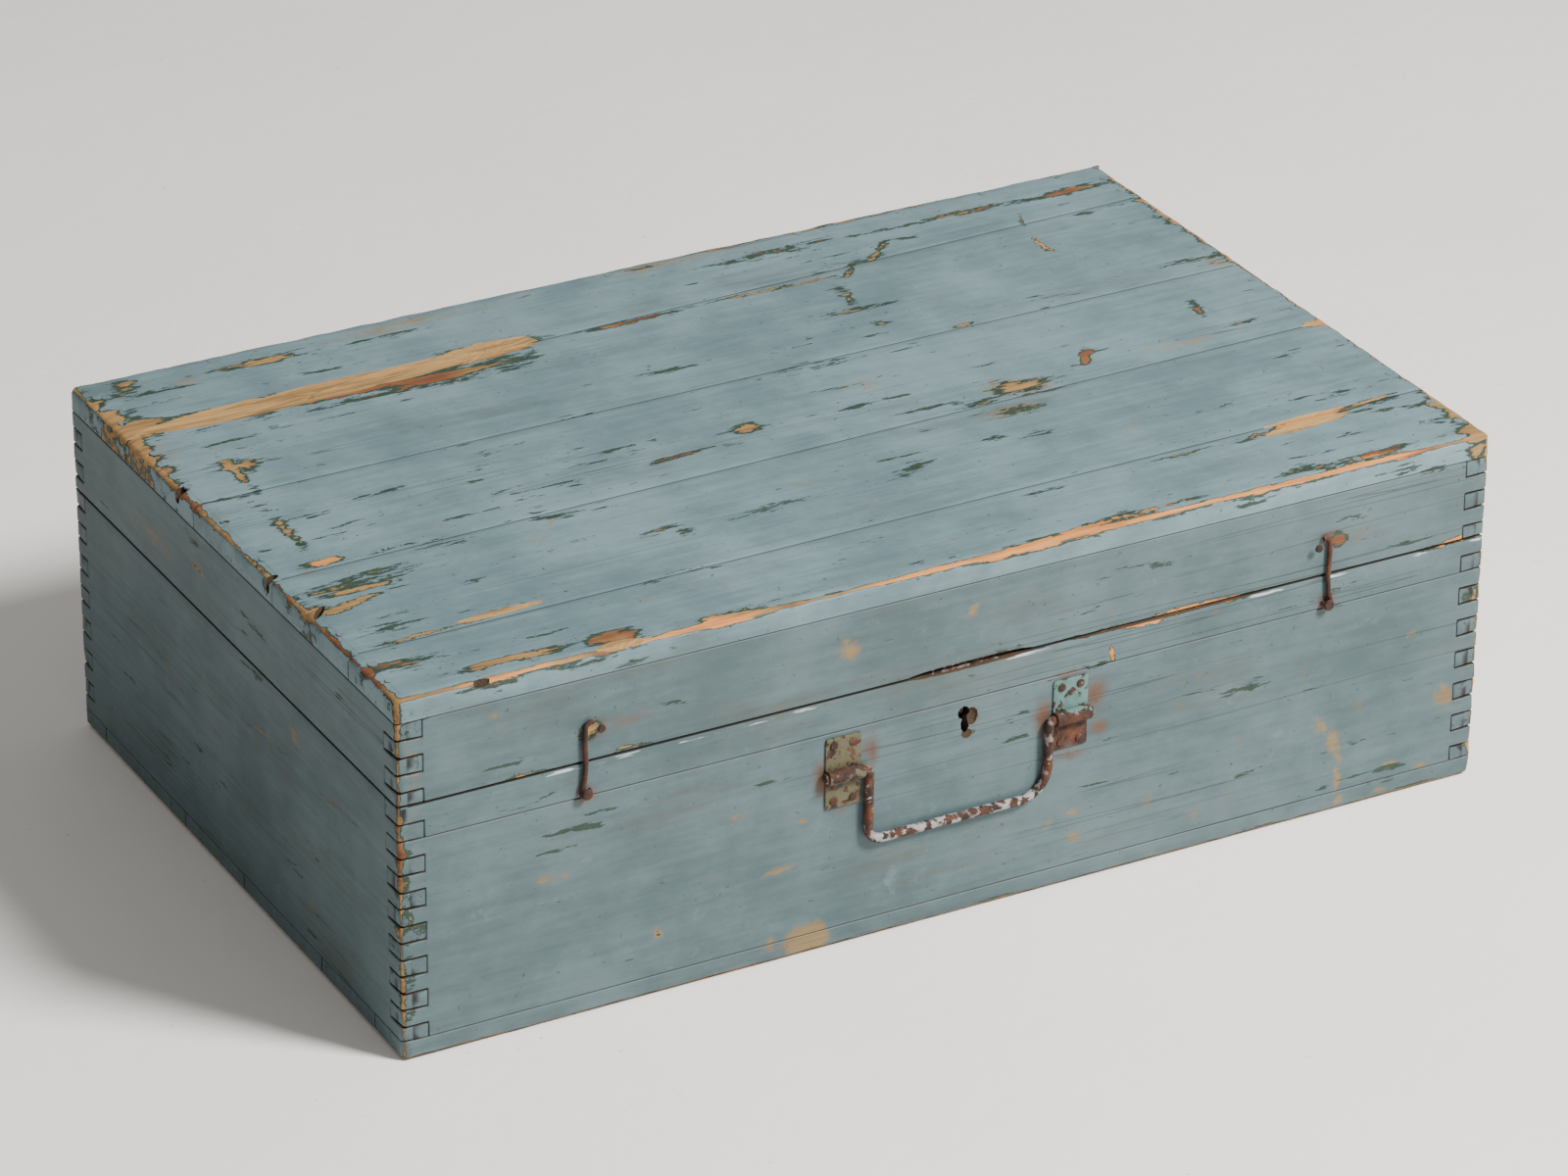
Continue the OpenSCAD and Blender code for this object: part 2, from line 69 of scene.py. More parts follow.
turn = (Matrix.Rotation(view_azimuth, 3, "Z") @ Matrix.Rotation(math.pi / 2 - view_elevation, 3, "X")
        @ Matrix.Rotation(view_roll, 3, "Z"))
bpy.ops.object.camera_add(location=look_at + turn @ Vector((0, 0, view_distance)), rotation=turn.to_euler())
camera = bpy.context.object
camera.data.lens = 147.4
camera.data.sensor_width = 36
camera.data.clip_end = 50
bpy.context.scene.camera = camera

lamp_azimuth, lamp_elevation, lamp_distance = math.radians(34), math.radians(46), 4.5
lamp_turn = Euler((math.pi / 2 - lamp_elevation, 0, lamp_azimuth)).to_matrix()
bpy.ops.object.light_add(type="AREA", location=lamp_turn @ Vector((0, 0, lamp_distance)),
                         rotation=lamp_turn.to_euler())
lamp = bpy.context.object
lamp.data.shape = "DISK"
lamp.data.size = 1.1
lamp.data.energy = 430
lamp.data.color = (1.0, 0.98, 0.95)

sky = bpy.data.worlds.new("sky")
sky.use_nodes = True
sky.node_tree.nodes["Background"].inputs["Color"].default_value = (1.0, 0.975, 0.94, 1)
sky.node_tree.nodes["Background"].inputs["Strength"].default_value = 0.38
bpy.context.scene.world = sky


class Socket:
    """A node socket that takes Python arithmetic: every sum or product adds its Math node."""

    def __init__(self, tree, socket=None):
        self.tree, self.socket = tree, socket

    def node(self, kind, settings=None, inputs=None, out=0):
        """Adds a node: its settings first, then what its inputs take, a socket or a constant."""
        made = self.tree.nodes.new("ShaderNode" + kind)
        for name, value in (settings or {}).items():
            setattr(made, name, value)
        for name, value in (inputs or {}).items():
            if isinstance(value, Socket):
                self.tree.links.new(value.socket, made.inputs[name])
            else:
                made.inputs[name].default_value = value
        return Socket(self.tree, made.outputs[out])

    def math(self, operation, *values):
        return self.node("Math", {"operation": operation}, dict(enumerate(values)))

    def __add__(self, other):
        return self.math("ADD", self, other)

    __radd__ = __add__

    def __sub__(self, other):
        return self.math("SUBTRACT", self, other)

    def __rsub__(self, other):
        return self.math("SUBTRACT", other, self)

    def __mul__(self, other):
        return self.math("MULTIPLY", self, other)

    __rmul__ = __mul__

    def __truediv__(self, other):
        return self.math("DIVIDE", self, other)

    def __abs__(self):
        return self.math("ABSOLUTE", self)

    def least(self, other):
        return self.math("MINIMUM", self, other)

    def most(self, other):
        return self.math("MAXIMUM", self, other)

    def step(self, low, high):
        """0 below low, 1 above high, with a soft change between."""
        return self.node("MapRange", {"interpolation_type": "SMOOTHSTEP"},
                         {"Value": self, "From Min": low, "From Max": high})

    def scaled(self, *factors):
        return self.node("VectorMath", {"operation": "MULTIPLY"}, {0: self, 1: factors})

    def noise(self, scale, stretch=(1, 1, 1), detail=3, roughness=0.5, distortion=0):
        """Cloudy noise of about 0.5, in this place's coordinates stretched first."""
        place = self if stretch == (1, 1, 1) else self.scaled(*stretch)
        return self.node("TexNoise", None, {"Vector": place, "Scale": scale, "Detail": detail,
                                            "Roughness": roughness, "Distortion": distortion})

    def mix(self, low, high):
        """The colour low where this mask is 0 and high where it is 1."""
        low, high = ((*colour, 1) if isinstance(colour, tuple) else colour for colour in (low, high))
        return self.node("Mix", {"data_type": "RGBA"}, {0: self, 6: low, 7: high}, out=2)

    def axis(self, number):
        return self.node("SeparateXYZ", None, {0: self}, out=number)


def new_material(name):
    """A material with a plain shader: returns it, its shader and the Object coordinates."""
    material = bpy.data.materials.new(name)
    material.use_nodes = True
    tree = material.node_tree
    return material, tree.nodes["Principled BSDF"], Socket(tree).node("TexCoord", out=3)


def connect(shader, colour=None, roughness=None, height=None, relief=0.0005, metallic=None):
    """Links what changes over a surface to its shader, with a bump of that height in metres."""
    links = colour.tree.links
    for name, value in (("Base Color", colour), ("Roughness", roughness), ("Metallic", metallic)):
        if value is not None:
            links.new(value.socket, shader.inputs[name])
    if height is not None:
        bump = height.node("Bump", None, {"Height": height, "Distance": relief, "Strength": 1.0})
        links.new(bump.socket, shader.inputs["Normal"])


def start_piece(name, low, high):
    """A cube primitive between two corners, alone selected, with its place in its mesh."""
    bpy.ops.object.select_all(action="DESELECT")
    bpy.ops.mesh.primitive_cube_add(size=1, location=(low + high) / 2, scale=high - low)
    piece = bpy.context.object
    piece.name = piece.data.name = name
    bpy.ops.object.transform_apply(location=True, rotation=True, scale=True)
    return piece


floor_material, floor_shader, at = new_material("pale_floor")
mottle = at.noise(3, detail=5, roughness=0.6)
specks = at.noise(160, detail=2).step(0.7, 0.74) * at.noise(9).step(0.5, 0.62)
floor_colour = mottle.mix((0.90, 0.87, 0.84), (0.96, 0.94, 0.915))
floor_colour = (specks * 0.35).mix(floor_colour, (0.30, 0.26, 0.22))
connect(floor_shader, floor_colour, 0.55 + mottle * 0.2, at.noise(40, detail=4), 0.0006)
bpy.ops.mesh.primitive_plane_add(size=14, location=(0, 0, 0))
floor = bpy.context.object
floor.name = "floor"
floor.data.materials.append(floor_material)
floor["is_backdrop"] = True


# ---- Finger-jointed walls ----
# The box and the lid are frames of pine boards 18 mm thick, their ends sawn into fingers that lock
# at the corners. They are painted outside, blue-grey over dark green, and left bare inside.
top_z = chest_high.z
split_z = (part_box("box_left")[1].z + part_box("lid_left")[0].z) / 2
wall_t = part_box("box_front_lower")[1].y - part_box("box_front_lower")[0].y
finger_w = (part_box("box_front_upper")[1].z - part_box("box_front_upper")[0].z) / 2
half_length, half_depth = chest_high.x, chest_high.y
joint_gap = 0.00035


def pine(at, stretch):
    """Pine along one grain: how light it is from place to place, and the height of its ridges."""
    rings = (at.noise(30, stretch, detail=2, distortion=0.5) * 90).math("SINE") * 0.5 + 0.5
    fibres = at.noise(230, stretch, detail=5, roughness=0.7)
    tone = (rings * 0.22 + fibres * 0.9 + at.noise(14, detail=4) * 0.35).step(0.45, 0.98)
    return tone, rings * 0.4 + fibres


def torn(at, reach, scale):
    """This place pushed about by up to the reach, so that marks get ragged outlines."""
    cloud = at.node("TexNoise", None, {"Vector": at, "Scale": scale, "Detail": 5, "Roughness": 0.6},
                    out="Color")
    push = cloud.node("VectorMath", {"operation": "SUBTRACT"}, {0: cloud, 1: (0.5, 0.5, 0.5)})
    return at.node("VectorMath", {"operation": "ADD"}, {0: at, 1: push.scaled(reach, reach, reach)})


def marks(at, across, places):
    """The highest of some oval marks on a face across an axis, each given by its middle, its half
    length and width in millimetres, its turn in degrees and its height at the middle."""
    field = None
    for a, b, half_a, half_b, degrees, height in places:
        middle, size, angle = [a / 1000, b / 1000], [half_a / 1000, half_b / 1000], [0, 0, 0]
        middle.insert(across, 0)
        size.insert(across, 1000)
        angle[across] = math.radians(-degrees if across == 1 else degrees)
        oval = at.node("Mapping", {"vector_type": "TEXTURE"},
                       {"Vector": at, "Location": middle, "Rotation": angle, "Scale": size})
        reach = oval.node("VectorMath", {"operation": "LENGTH"}, {0: oval}, out="Value")
        spot = (1 - reach) * height
        field = spot if field is None else field.most(spot)
    return field


def old_paint(name, along, across, worn, stained, fresh, rusted=(), flecks=1.2, scuffed=0.0,
              light=(0.098, 0.144, 0.153), dark=(0.054, 0.088, 0.095)):
    """Old blue-grey paint over dark green on pine whose grain runs along one axis. It is worn through
    at the arrises, in hollows and at the worn marks, and rubbed with ochre at the stained ones. Wood
    is pale at the fresh marks, rust spreads from the rusted ones, and scuffs show the green."""
    material, shader, at = new_material(name)
    shader.inputs["Specular IOR Level"].default_value = 0.3
    stretch = (0.05, 1, 1) if along == 0 else (1, 0.05, 1)
    mild = (0.17, 1, 1) if along == 0 else (1, 0.17, 1)
    tone, ridges = pine(at, stretch)
    x, y, z = (at.axis(number) for number in range(3))
    off_end, off_face = half_length - abs(x), half_depth - abs(y)
    off_flat = top_z / 2 - abs(z - top_z / 2)
    depth = off_end.least(off_face).least(off_flat)
    arris = off_end.most(off_face).least(off_end.least(off_face).most(off_flat))
    split = abs(z - split_z)

    ragged = torn(torn(at, 0.014, 26), 0.006, 170)
    frayed = at.noise(75, mild, detail=9, roughness=0.7)
    patchy = at.noise(5, detail=3)
    wear = 0.5 + (frayed - 0.5) * flecks + (patchy - 0.5) * 0.35
    broken = marks(ragged, across, fresh).most(0)
    reach = broken.least(1) * 0.0045 + at.noise(16, detail=4).step(0.35, 0.75) * 0.006 + 0.0015
    wear = wear + (1 - arris / reach).most(0) * 0.5
    wear = wear + depth.step(0.0006, 0.0016) * split.step(0.002, 0.004) * 0.3
    near_worn = marks(ragged, across, worn)
    rubbed = near_worn.most(0) * 1.1
    wear = wear + rubbed
    strokes = at.noise(260, stretch, detail=4, roughness=0.6)
    wear = wear + (strokes - 0.5) * 0.35
    green, bare = wear.step(0.69, 0.715), wear.step(0.80, 0.83)
    if scuffed:
        speckle = (at.noise(330, mild, detail=4, roughness=0.75) - 0.5) * 1.5 + (frayed - 0.5) * 1.6
        green = green.most((near_worn + speckle).step(0.2, 0.28) * scuffed)

    blotches = at.noise(10, detail=8, roughness=0.66)
    mottle = at.noise(120, mild, detail=6, roughness=0.7)
    coat = (blotches * 0.6 + strokes * 0.15 + mottle * 0.25).step(0.36, 0.64).mix(dark, light)
    grime = at.noise(26, mild, detail=8, roughness=0.68).step(0.55, 0.72)
    coat = (grime * 0.4).mix(coat, (0.075, 0.075, 0.055))
    smudge = at.noise(48, detail=8, roughness=0.7).step(0.60, 0.70) * at.noise(6, detail=2).step(0.45, 0.6)
    coat = (smudge * 0.5).mix(coat, (0.14, 0.10, 0.05))
    chalk = at.noise(34, detail=6, roughness=0.7).step(0.62, 0.72)
    coat = (chalk * 0.3).mix(coat, (0.17, 0.215, 0.225))
    if stained:
        ochre = tone.mix((0.13, 0.085, 0.032), (0.27, 0.17, 0.06))
        stain = marks(ragged, across, stained) + (frayed - 0.5) * 1.5 + (at.noise(200, detail=5) - 0.5) * 0.8
        coat = (stain.step(0.1, 0.7) * 0.8).mix(coat, ochre)
    fine = (0.015, 1, 1) if along == 0 else (1, 0.015, 1)
    crack = abs(at.noise(60, fine, detail=2) - 0.5).step(0.006, 0.002)
    crack = crack * at.noise(9, mild, detail=3).step(0.55, 0.6)
    coat = (crack * 0.45).mix(coat, (0.02, 0.03, 0.028))
    if rusted:
        rust = at.noise(90, detail=5).mix((0.045, 0.024, 0.013), (0.17, 0.062, 0.022))
        halo = marks(ragged, across, rusted) + (frayed - 0.5) * 1.2
        coat = (halo.step(-0.1, 1.2) * 0.85).mix(coat, rust)
    specks = at.noise(240, detail=2).step(0.71, 0.75)
    coat = (specks * 0.6).mix(coat, (0.03, 0.04, 0.035))

    under = at.noise(80, detail=4).mix((0.010, 0.026, 0.018), (0.036, 0.064, 0.042))
    wood = tone.mix((0.075, 0.040, 0.015), (0.34, 0.20, 0.078))
    reddish = tone.mix((0.06, 0.022, 0.012), (0.20, 0.075, 0.032))
    wood = at.noise(11, detail=5).step(0.5, 0.65).mix(wood, reddish)
    pale = (broken + (strokes - 0.5) * 0.9).step(0.2, 0.45)
    wood = pale.mix(wood, tone.mix((0.17, 0.050, 0.014), (0.60, 0.255, 0.075)))
    # Painted shade: bare wood turns nearly black deeper than 2 to 6 mm below the chest's outer faces, in
    # gaps and hollows.
    wood = (depth.step(0.0022, 0.006) * 0.8).mix(wood, (0.035, 0.022, 0.014))
    colour = bare.mix(green.mix(coat, under), wood)
    under_split = (1 - abs(z - split_z + 0.0026) / 0.0013).most(0).step(0, 0.4)
    flake = at.noise(150, mild, detail=3).step(0.56, 0.6) * under_split
    flake = flake * at.noise(7, detail=2).step(0.5, 0.56) * y.step(0.004 - half_depth, 0.001 - half_depth)
    colour = flake.mix(colour, (0.42, 0.46, 0.46))
    # Painted shade with some dirt: the grooves of the seams and finger joints go nearly black below 0.3 to
    # 0.6 mm, away from the arrises and the rubbed marks.
    groove = depth.step(0.0003, 0.0006) * arris.step(0.0065, 0.008) * (1 - rubbed.step(0.2, 0.4))
    colour = (groove * 0.9).mix(colour, (0.012, 0.010, 0.008))
    height = (1 - green) * 0.5 + (1 - bare) * 0.35 + strokes * 0.22
    height = height + ridges * (bare * 0.35 + 0.1) - crack * 0.5
    connect(shader, colour, bare * 0.2 + 0.52 + blotches * 0.15, height, 0.0006)
    return material


def raw_pine(name, along, low=(0.065, 0.036, 0.016), high=(0.24, 0.145, 0.064), grimy=1.0):
    """Unpainted pine, browned by age, with its rings, a few dark knots and a share of dirt, which is
    thickest where hands and weather reach it."""
    material, shader, at = new_material(name)
    shader.inputs["Specular IOR Level"].default_value = 0.25
    stretch = (0.05, 1, 1) if along == 0 else (1, 0.05, 1)
    tone, ridges = pine(at, stretch)
    colour = tone.mix(low, high)
    x, y, z = (at.axis(number) for number in range(3))
    depth = (half_length - abs(x)).least(half_depth - abs(y)).least(top_z / 2 - abs(z - top_z / 2))
    colour = (depth.step(0.014, 0.002) * 0.85 * grimy).mix(colour, (0.022, 0.016, 0.011))
    dirt = at.noise(6, detail=6, roughness=0.6).step(0.45, 0.75)
    colour = (dirt * 0.55 * grimy).mix(colour, (0.045, 0.032, 0.022))
    knot_place = at.scaled(*((6, 14, 14) if along == 0 else (14, 6, 14)))
    knot = knot_place.node("TexVoronoi", None, {"Vector": knot_place, "Scale": 1.0}).step(0.16, 0.07)
    colour = (knot * 0.8).mix(colour, (0.05, 0.022, 0.01))
    connect(shader, colour, 0.7 + ridges * 0.2, ridges, 0.0004)
    return material


def pick(piece, kind, test):
    """In edit mode, selects just the verts, edges or faces that pass the test."""
    bpy.ops.mesh.select_all(action="DESELECT")
    bpy.ops.mesh.select_mode(type={"verts": "VERT", "edges": "EDGE", "faces": "FACE"}[kind])
    shape = bmesh.from_edit_mesh(piece.data)
    shape.normal_update()
    for element in getattr(shape, kind):
        if test(element):
            element.select_set(True)
    bmesh.update_edit_mesh(piece.data)


def runs(edge, axis, shortest=0.0):
    """True for an edge along an axis that is at least so long."""
    step = edge.verts[1].co - edge.verts[0].co
    return step.length > shortest and abs(step[axis]) > 0.999 * step.length


def ease(piece, test, width, segments=2):
    """Rounds the edges that pass the test, by up to the width."""
    pick(piece, "edges", test)
    bpy.ops.mesh.bevel(offset=width, offset_type="OFFSET", segments=segments, affect="EDGES",
                       clamp_overlap=False)


def finish_board(piece, node, body, outer, inner, weathered):
    """Breaks a board's edges, wears away its outer arrises, presses back what the wear has pushed
    past the chest's sides and paints what faces outwards."""
    bpy.ops.object.mode_set(mode="EDIT")
    pick(piece, "verts", weathered)
    bpy.ops.object.vertex_group_add()
    bpy.ops.object.vertex_group_assign()
    bpy.ops.object.mode_set(mode="OBJECT")
    bpy.ops.object.modifier_add(type="BEVEL")
    edge_break = piece.modifiers[-1]
    edge_break.width, edge_break.segments = 0.0008, 1
    edge_break.limit_method, edge_break.angle_limit = "ANGLE", math.radians(50)
    edge_break.use_clamp_overlap = False
    bpy.ops.object.modifier_apply(modifier=edge_break.name)
    for size, depth in ((0.014, 0.0018), (0.004, 0.0006)):
        ragged = bpy.data.textures.new("ragged", "CLOUDS")
        ragged.noise_scale, ragged.noise_depth = size, 3
        bpy.ops.object.modifier_add(type="DISPLACE")
        wear = piece.modifiers[-1]
        wear.texture, wear.texture_coords, wear.vertex_group = ragged, "LOCAL", "Group"
        wear.strength, wear.mid_level = -depth, 0.15
        bpy.ops.object.modifier_apply(modifier=wear.name)
    bpy.ops.object.mode_set(mode="EDIT")
    for axis, face_at in ((0, half_length), (0, -half_length), (1, half_depth), (1, -half_depth)):
        pick(piece, "verts", lambda v: v.co[axis] / face_at > 1)
        bpy.ops.transform.resize(value=[number != axis for number in range(3)],
                                 center_override=[face_at * (number == axis) for number in range(3)])
    skin = 0.006

    def faces_out(face):
        middle, normal = face.calc_center_median(), face.normal
        return ((abs(middle.x) > half_length - skin and normal.x * middle.x > 0.05)
                or (abs(middle.y) > half_depth - skin and normal.y * middle.y > 0.05)
                or (middle.z > top_z - skin and normal.z > 0.2))

    pick(piece, "faces", faces_out)
    piece.data.materials.append(inner)
    piece.data.materials.append(outer)
    piece.active_material_index = 1
    bpy.ops.object.material_slot_assign()
    bpy.ops.object.mode_set(mode="OBJECT")
    bpy.ops.object.shade_smooth_by_angle(angle=math.radians(40))
    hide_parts(node)
    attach(piece, body)


finger_levels = 14


def jointed_wall(node, along, wall_top, first, body, outer, inner, cuts=150):
    """A wall board: the block between its shoulders is cut across at the levels of its fingers,
    from the top down, and every second one is drawn out to the corner at both ends."""
    low, high = (corner.copy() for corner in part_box(node))
    low[along] += wall_t
    high[along] -= wall_t
    out = 1 if (low + high)[1 - along] > 0 else -1
    piece = start_piece("worn_" + node, low, high)
    fingers = []
    for level in range(first, finger_levels, 2):
        bottom, top = max(wall_top - (level + 1) * finger_w, low.z), min(wall_top - level * finger_w, high.z)
        if top - bottom > 0.001:
            fingers.append((bottom + joint_gap * (bottom > low.z + 0.0001),
                            top - joint_gap * (top < high.z - 0.0001)))
    bpy.ops.object.mode_set(mode="EDIT")
    for edge_z in {z for finger in fingers for z in finger}:
        if low.z + 0.0001 < edge_z < high.z - 0.0001:
            bpy.ops.mesh.select_all(action="SELECT")
            bpy.ops.mesh.bisect(plane_co=(0, 0, edge_z), plane_no=(0, 0, 1))
    for side in (-1, 1):
        pick(piece, "faces", lambda face: face.normal[along] * side > 0.9 and any(
            bottom < face.calc_center_median().z < top for bottom, top in fingers))
        reach = Vector((0, 0, 0))
        reach[along] = side * wall_t
        bpy.ops.mesh.extrude_region_move(TRANSFORM_OT_translate={"value": reach})
    pick(piece, "edges", lambda edge: runs(edge, along, 0.1))
    bpy.ops.mesh.subdivide(number_cuts=cuts)
    pick(piece, "edges", lambda edge: runs(edge, along, wall_t * 0.9))
    bpy.ops.mesh.subdivide(number_cuts=4)
    limit = half_length if along == 0 else half_depth
    face_at = half_depth if along == 0 else half_length

    def corner(edge):
        place = edge.verts[0].co
        return (runs(edge, 2, 0.003) and abs(place[along]) > limit - 0.0001
                and abs(place[1 - along]) > face_at - 0.0001)

    def at_split(edge):
        place = edge.verts[0].co
        return (runs(edge, along) and abs(place[1 - along]) > face_at - 0.0001
                and min(place.z - low.z, high.z - place.z) < 0.0001 and abs(place.z - split_z) < 0.002)

    ease(piece, corner, 0.0022)
    ease(piece, at_split, 0.0012)
    bpy.ops.object.mode_set(mode="OBJECT")
    finish_board(piece, node, body, outer, inner, lambda vertex: (
        abs(vertex.co[1 - along]) > face_at - 0.003 and abs(vertex.co[along]) > limit - 0.003))
    return piece


front_paint = old_paint("front_paint", 0, 1, [
    (-395, 100, 7, 110, 0, 0.30), (-268, 203, 10, 9, 20, 0.5), (282, 205, 9, 9, 0, 0.35),
    (-235, 183, 32, 2.5, 0, 0.4), (-310, 183, 40, 2, 0, 0.35), (150, 182, 95, 3, 0, 0.5),
    (375, 182, 30, 3, 0, 0.45), (4, 131, 5, 3, 0, 0.4), (110, 166, 3, 9, 15, 0.5),
    (-220, 46, 6, 6, 0, 0.3)], [
    (-113, 9, 22, 15, 0, 1.7), (-140, 15, 6, 7, 0, 0.8), (-135, 67, 12, 4, 0, 0.6),
    (-83, 214, 11, 9, 0, 0.8), (8, 222, 9, 8, 0, 0.75), (-118, 99, 7, 4, 0, 0.6),
    (-165, 112, 9, 6, 0, 0.45), (-220, 46, 7, 7, 0, 0.9), (275, 68, 14, 8, -50, 0.75),
    (286, 52, 9, 14, 20, 0.8), (291, 28, 4, 22, 0, 0.7), (333, 24, 9, 4, 10, 0.7),
    (357, 18, 8, 4, 0, 0.7), (325, 7, 12, 4, 0, 0.7), (293, 8, 7, 6, 0, 0.7), (374, 66, 13, 12, -20, 1.0),
    (387, 67, 5, 6, 0, 1.0), (85, 32, 12, 9, 0, 0.6), (84, 52, 10, 6, 0, 0.5), (66, 46, 10, 6, 0, 0.4),
    (180, 25, 14, 8, 0, 0.45), (143, 45, 6, 12, 0, 0.5), (345, 120, 5, 4, 0, 0.7),
    (385, 166, 6, 5, 0, 0.8), (-300, 105, 14, 6, 0, 0.45), (-285, 106, 7, 5, 0, 0.6),
    (-335, 230, 10, 5, 0, 0.5), (-390, 190, 9, 50, 0, 0.35)], [
    (150, 182, 100, 5, 0, 1.2), (375, 182, 30, 5, 0, 1.0), (110, 166, 4, 10, 15, 1),
    (145, 254, 255, 6, 0, 1.6), (-200, 255, 130, 5, 0, 1.2), (-388, 250, 12, 4, 0, 0.9)], [
    (-104, 127, 9, 18, 0, 1.5), (-66, 138, 8, 18, 0, 1.0), (-88, 100, 16, 5, 0, 0.6),
    (60, 130, 9, 16, 0, 1.2), (100, 136, 13, 16, 0, 1.2), (104, 112, 10, 9, 0, 1.0),
    (80, 97, 18, 5, 0, 0.8), (80, 156, 17, 5, 0, 0.8), (-266, 203, 13, 9, 0, 1.3),
    (-242, 204, 26, 7, 0, 0.6), (-270, 160, 11, 10, 0, 1.0), (278, 206, 14, 9, 0, 1.0),
    (274, 163, 11, 10, 0, 0.9), (300, 205, 24, 9, 0, 0.4), (8, 143, 5, 9, 0, 1.0)])
end_paint = old_paint("end_paint", 1, 0, [
    (245, 180, 12, 5, 0, 0.6), (-248, 110, 6, 90, 0, 0.3), (46, 213, 14, 3, 12, 0.42),
    (-42, 8, 18, 7, 0, 0.45), (-60, 138, 50, 0.9, -4, 0.5), (-170, 139, 60, 0.9, -4, 0.5),
    (100, 113, 45, 0.9, 14, 0.4)], [
    (120, 206, 60, 12, 0, 0.4), (-98, 162, 14, 7, 20, 0.5), (46, 213, 18, 5, 12, 0.7),
    (-120, 45, 10, 3, 20, 0.5), (175, 55, 4, 14, 0, 0.35)], [
    (46, 213, 14, 3, 12, 0.6)])
back_paint = old_paint("back_paint", 0, 1, [
    (-30, 182, 120, 2.5, 0, 0.4), (320, 182, 30, 3, 0, 0.45), (-392, 120, 7, 90, 0, 0.35),
    (150, 60, 70, 3, 2, 0.3), (-120, 104, 60, 4, -2, 0.3), (250, 22, 40, 5, 0, 0.35),
    (-300, 15, 60, 4, 0, 0.4), (60, 216, 70, 2.5, 1, 0.35)], [
    (120, 96, 26, 9, 10, 0.5), (-60, 40, 40, 8, 0, 0.45), (-330, 90, 10, 16, 0, 0.5),
    (330, 120, 12, 9, 0, 0.5), (10, 150, 30, 5, 0, 0.4), (-180, 220, 40, 6, 0, 0.4)], [
    (60, 254, 150, 5, 0, 1.0), (-300, 254, 90, 5, 0, 0.9), (-30, 182, 60, 3, 0, 0.7)], [
    (-250, 182, 44, 44, 0, 1.1), (250, 182, 44, 44, 0, 1.1), (-250, 135, 22, 24, 0, 0.7),
    (254, 132, 18, 28, 0, 0.7)])
raw_lengthways, raw_crossways = raw_pine("raw_lengthways", 0), raw_pine("raw_crossways", 1)

box_top, lid_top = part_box("box_left")[1].z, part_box("lid_left")[1].z
box_front_upper = jointed_wall("box_front_upper", 0, box_top, 0, "box", front_paint, raw_lengthways)
box_front_lower = jointed_wall("box_front_lower", 0, box_top, 0, "box", front_paint, raw_lengthways)
box_back = jointed_wall("box_back", 0, box_top, 0, "box", back_paint, raw_lengthways)
lid_front = jointed_wall("lid_front", 0, lid_top, 1, "lid", front_paint, raw_lengthways)
lid_back = jointed_wall("lid_back", 0, lid_top, 1, "lid", back_paint, raw_lengthways)
for end in ("left", "right"):
    jointed_wall("box_" + end, 1, box_top, 1, "box", end_paint, raw_crossways, 90)
    jointed_wall("lid_" + end, 1, lid_top, 0, "lid", end_paint, raw_crossways, 90)


# ---- Top and bottom boards ----
# Wide pine boards laid side by side along the chest and nailed down all round: five tapered ones on
# the lid, painted, and six under the box, bare but for their painted edges.
def carve(piece, hollows, wood=None):
    """Cuts oval hollows out of a board, each given by its middle, its half sizes in millimetres and
    its turn in degrees, where the wood has split, chipped or been gouged."""
    cutters = []
    for number, (middle, sizes, degrees) in enumerate(hollows):
        bpy.ops.object.select_all(action="DESELECT")
        bpy.ops.mesh.primitive_uv_sphere_add(segments=40, ring_count=14, radius=0.001, location=(0, 0, 0))
        cutter = bpy.context.object
        bpy.ops.object.mode_set(mode="EDIT")
        bpy.ops.mesh.select_all(action="SELECT")
        bpy.ops.transform.resize(value=sizes, center_override=(0, 0, 0))
        bpy.ops.transform.vertex_random(offset=min(sizes) * 0.00018, seed=number)
        bpy.ops.transform.rotate(value=-math.radians(degrees), orient_axis="Z", center_override=(0, 0, 0))
        bpy.ops.transform.translate(value=[place / 1000 for place in middle])
        bpy.ops.object.mode_set(mode="OBJECT")
        if wood:
            cutter.data.materials.append(wood)
        cutters.append(cutter)
    for cutter in cutters:
        cutter.select_set(True)
    bpy.context.view_layer.objects.active = cutters[0]
    bpy.ops.object.join()
    cutter = bpy.context.object
    cut_out(piece, cutter)


def cut_out(piece, cutter):
    """Takes a cutter's shape out of a piece and removes the cutter."""
    bpy.ops.object.select_all(action="DESELECT")
    piece.select_set(True)
    bpy.context.view_layer.objects.active = piece
    bpy.ops.object.modifier_add(type="BOOLEAN")
    cut = piece.modifiers[-1]
    cut.operation, cut.solver, cut.object, cut.use_self = "DIFFERENCE", "EXACT", cutter, True
    cut.material_mode = "TRANSFER" if cutter.data.materials else "INDEX"
    bpy.ops.object.modifier_apply(modifier=cut.name)
    bpy.data.objects.remove(cutter)


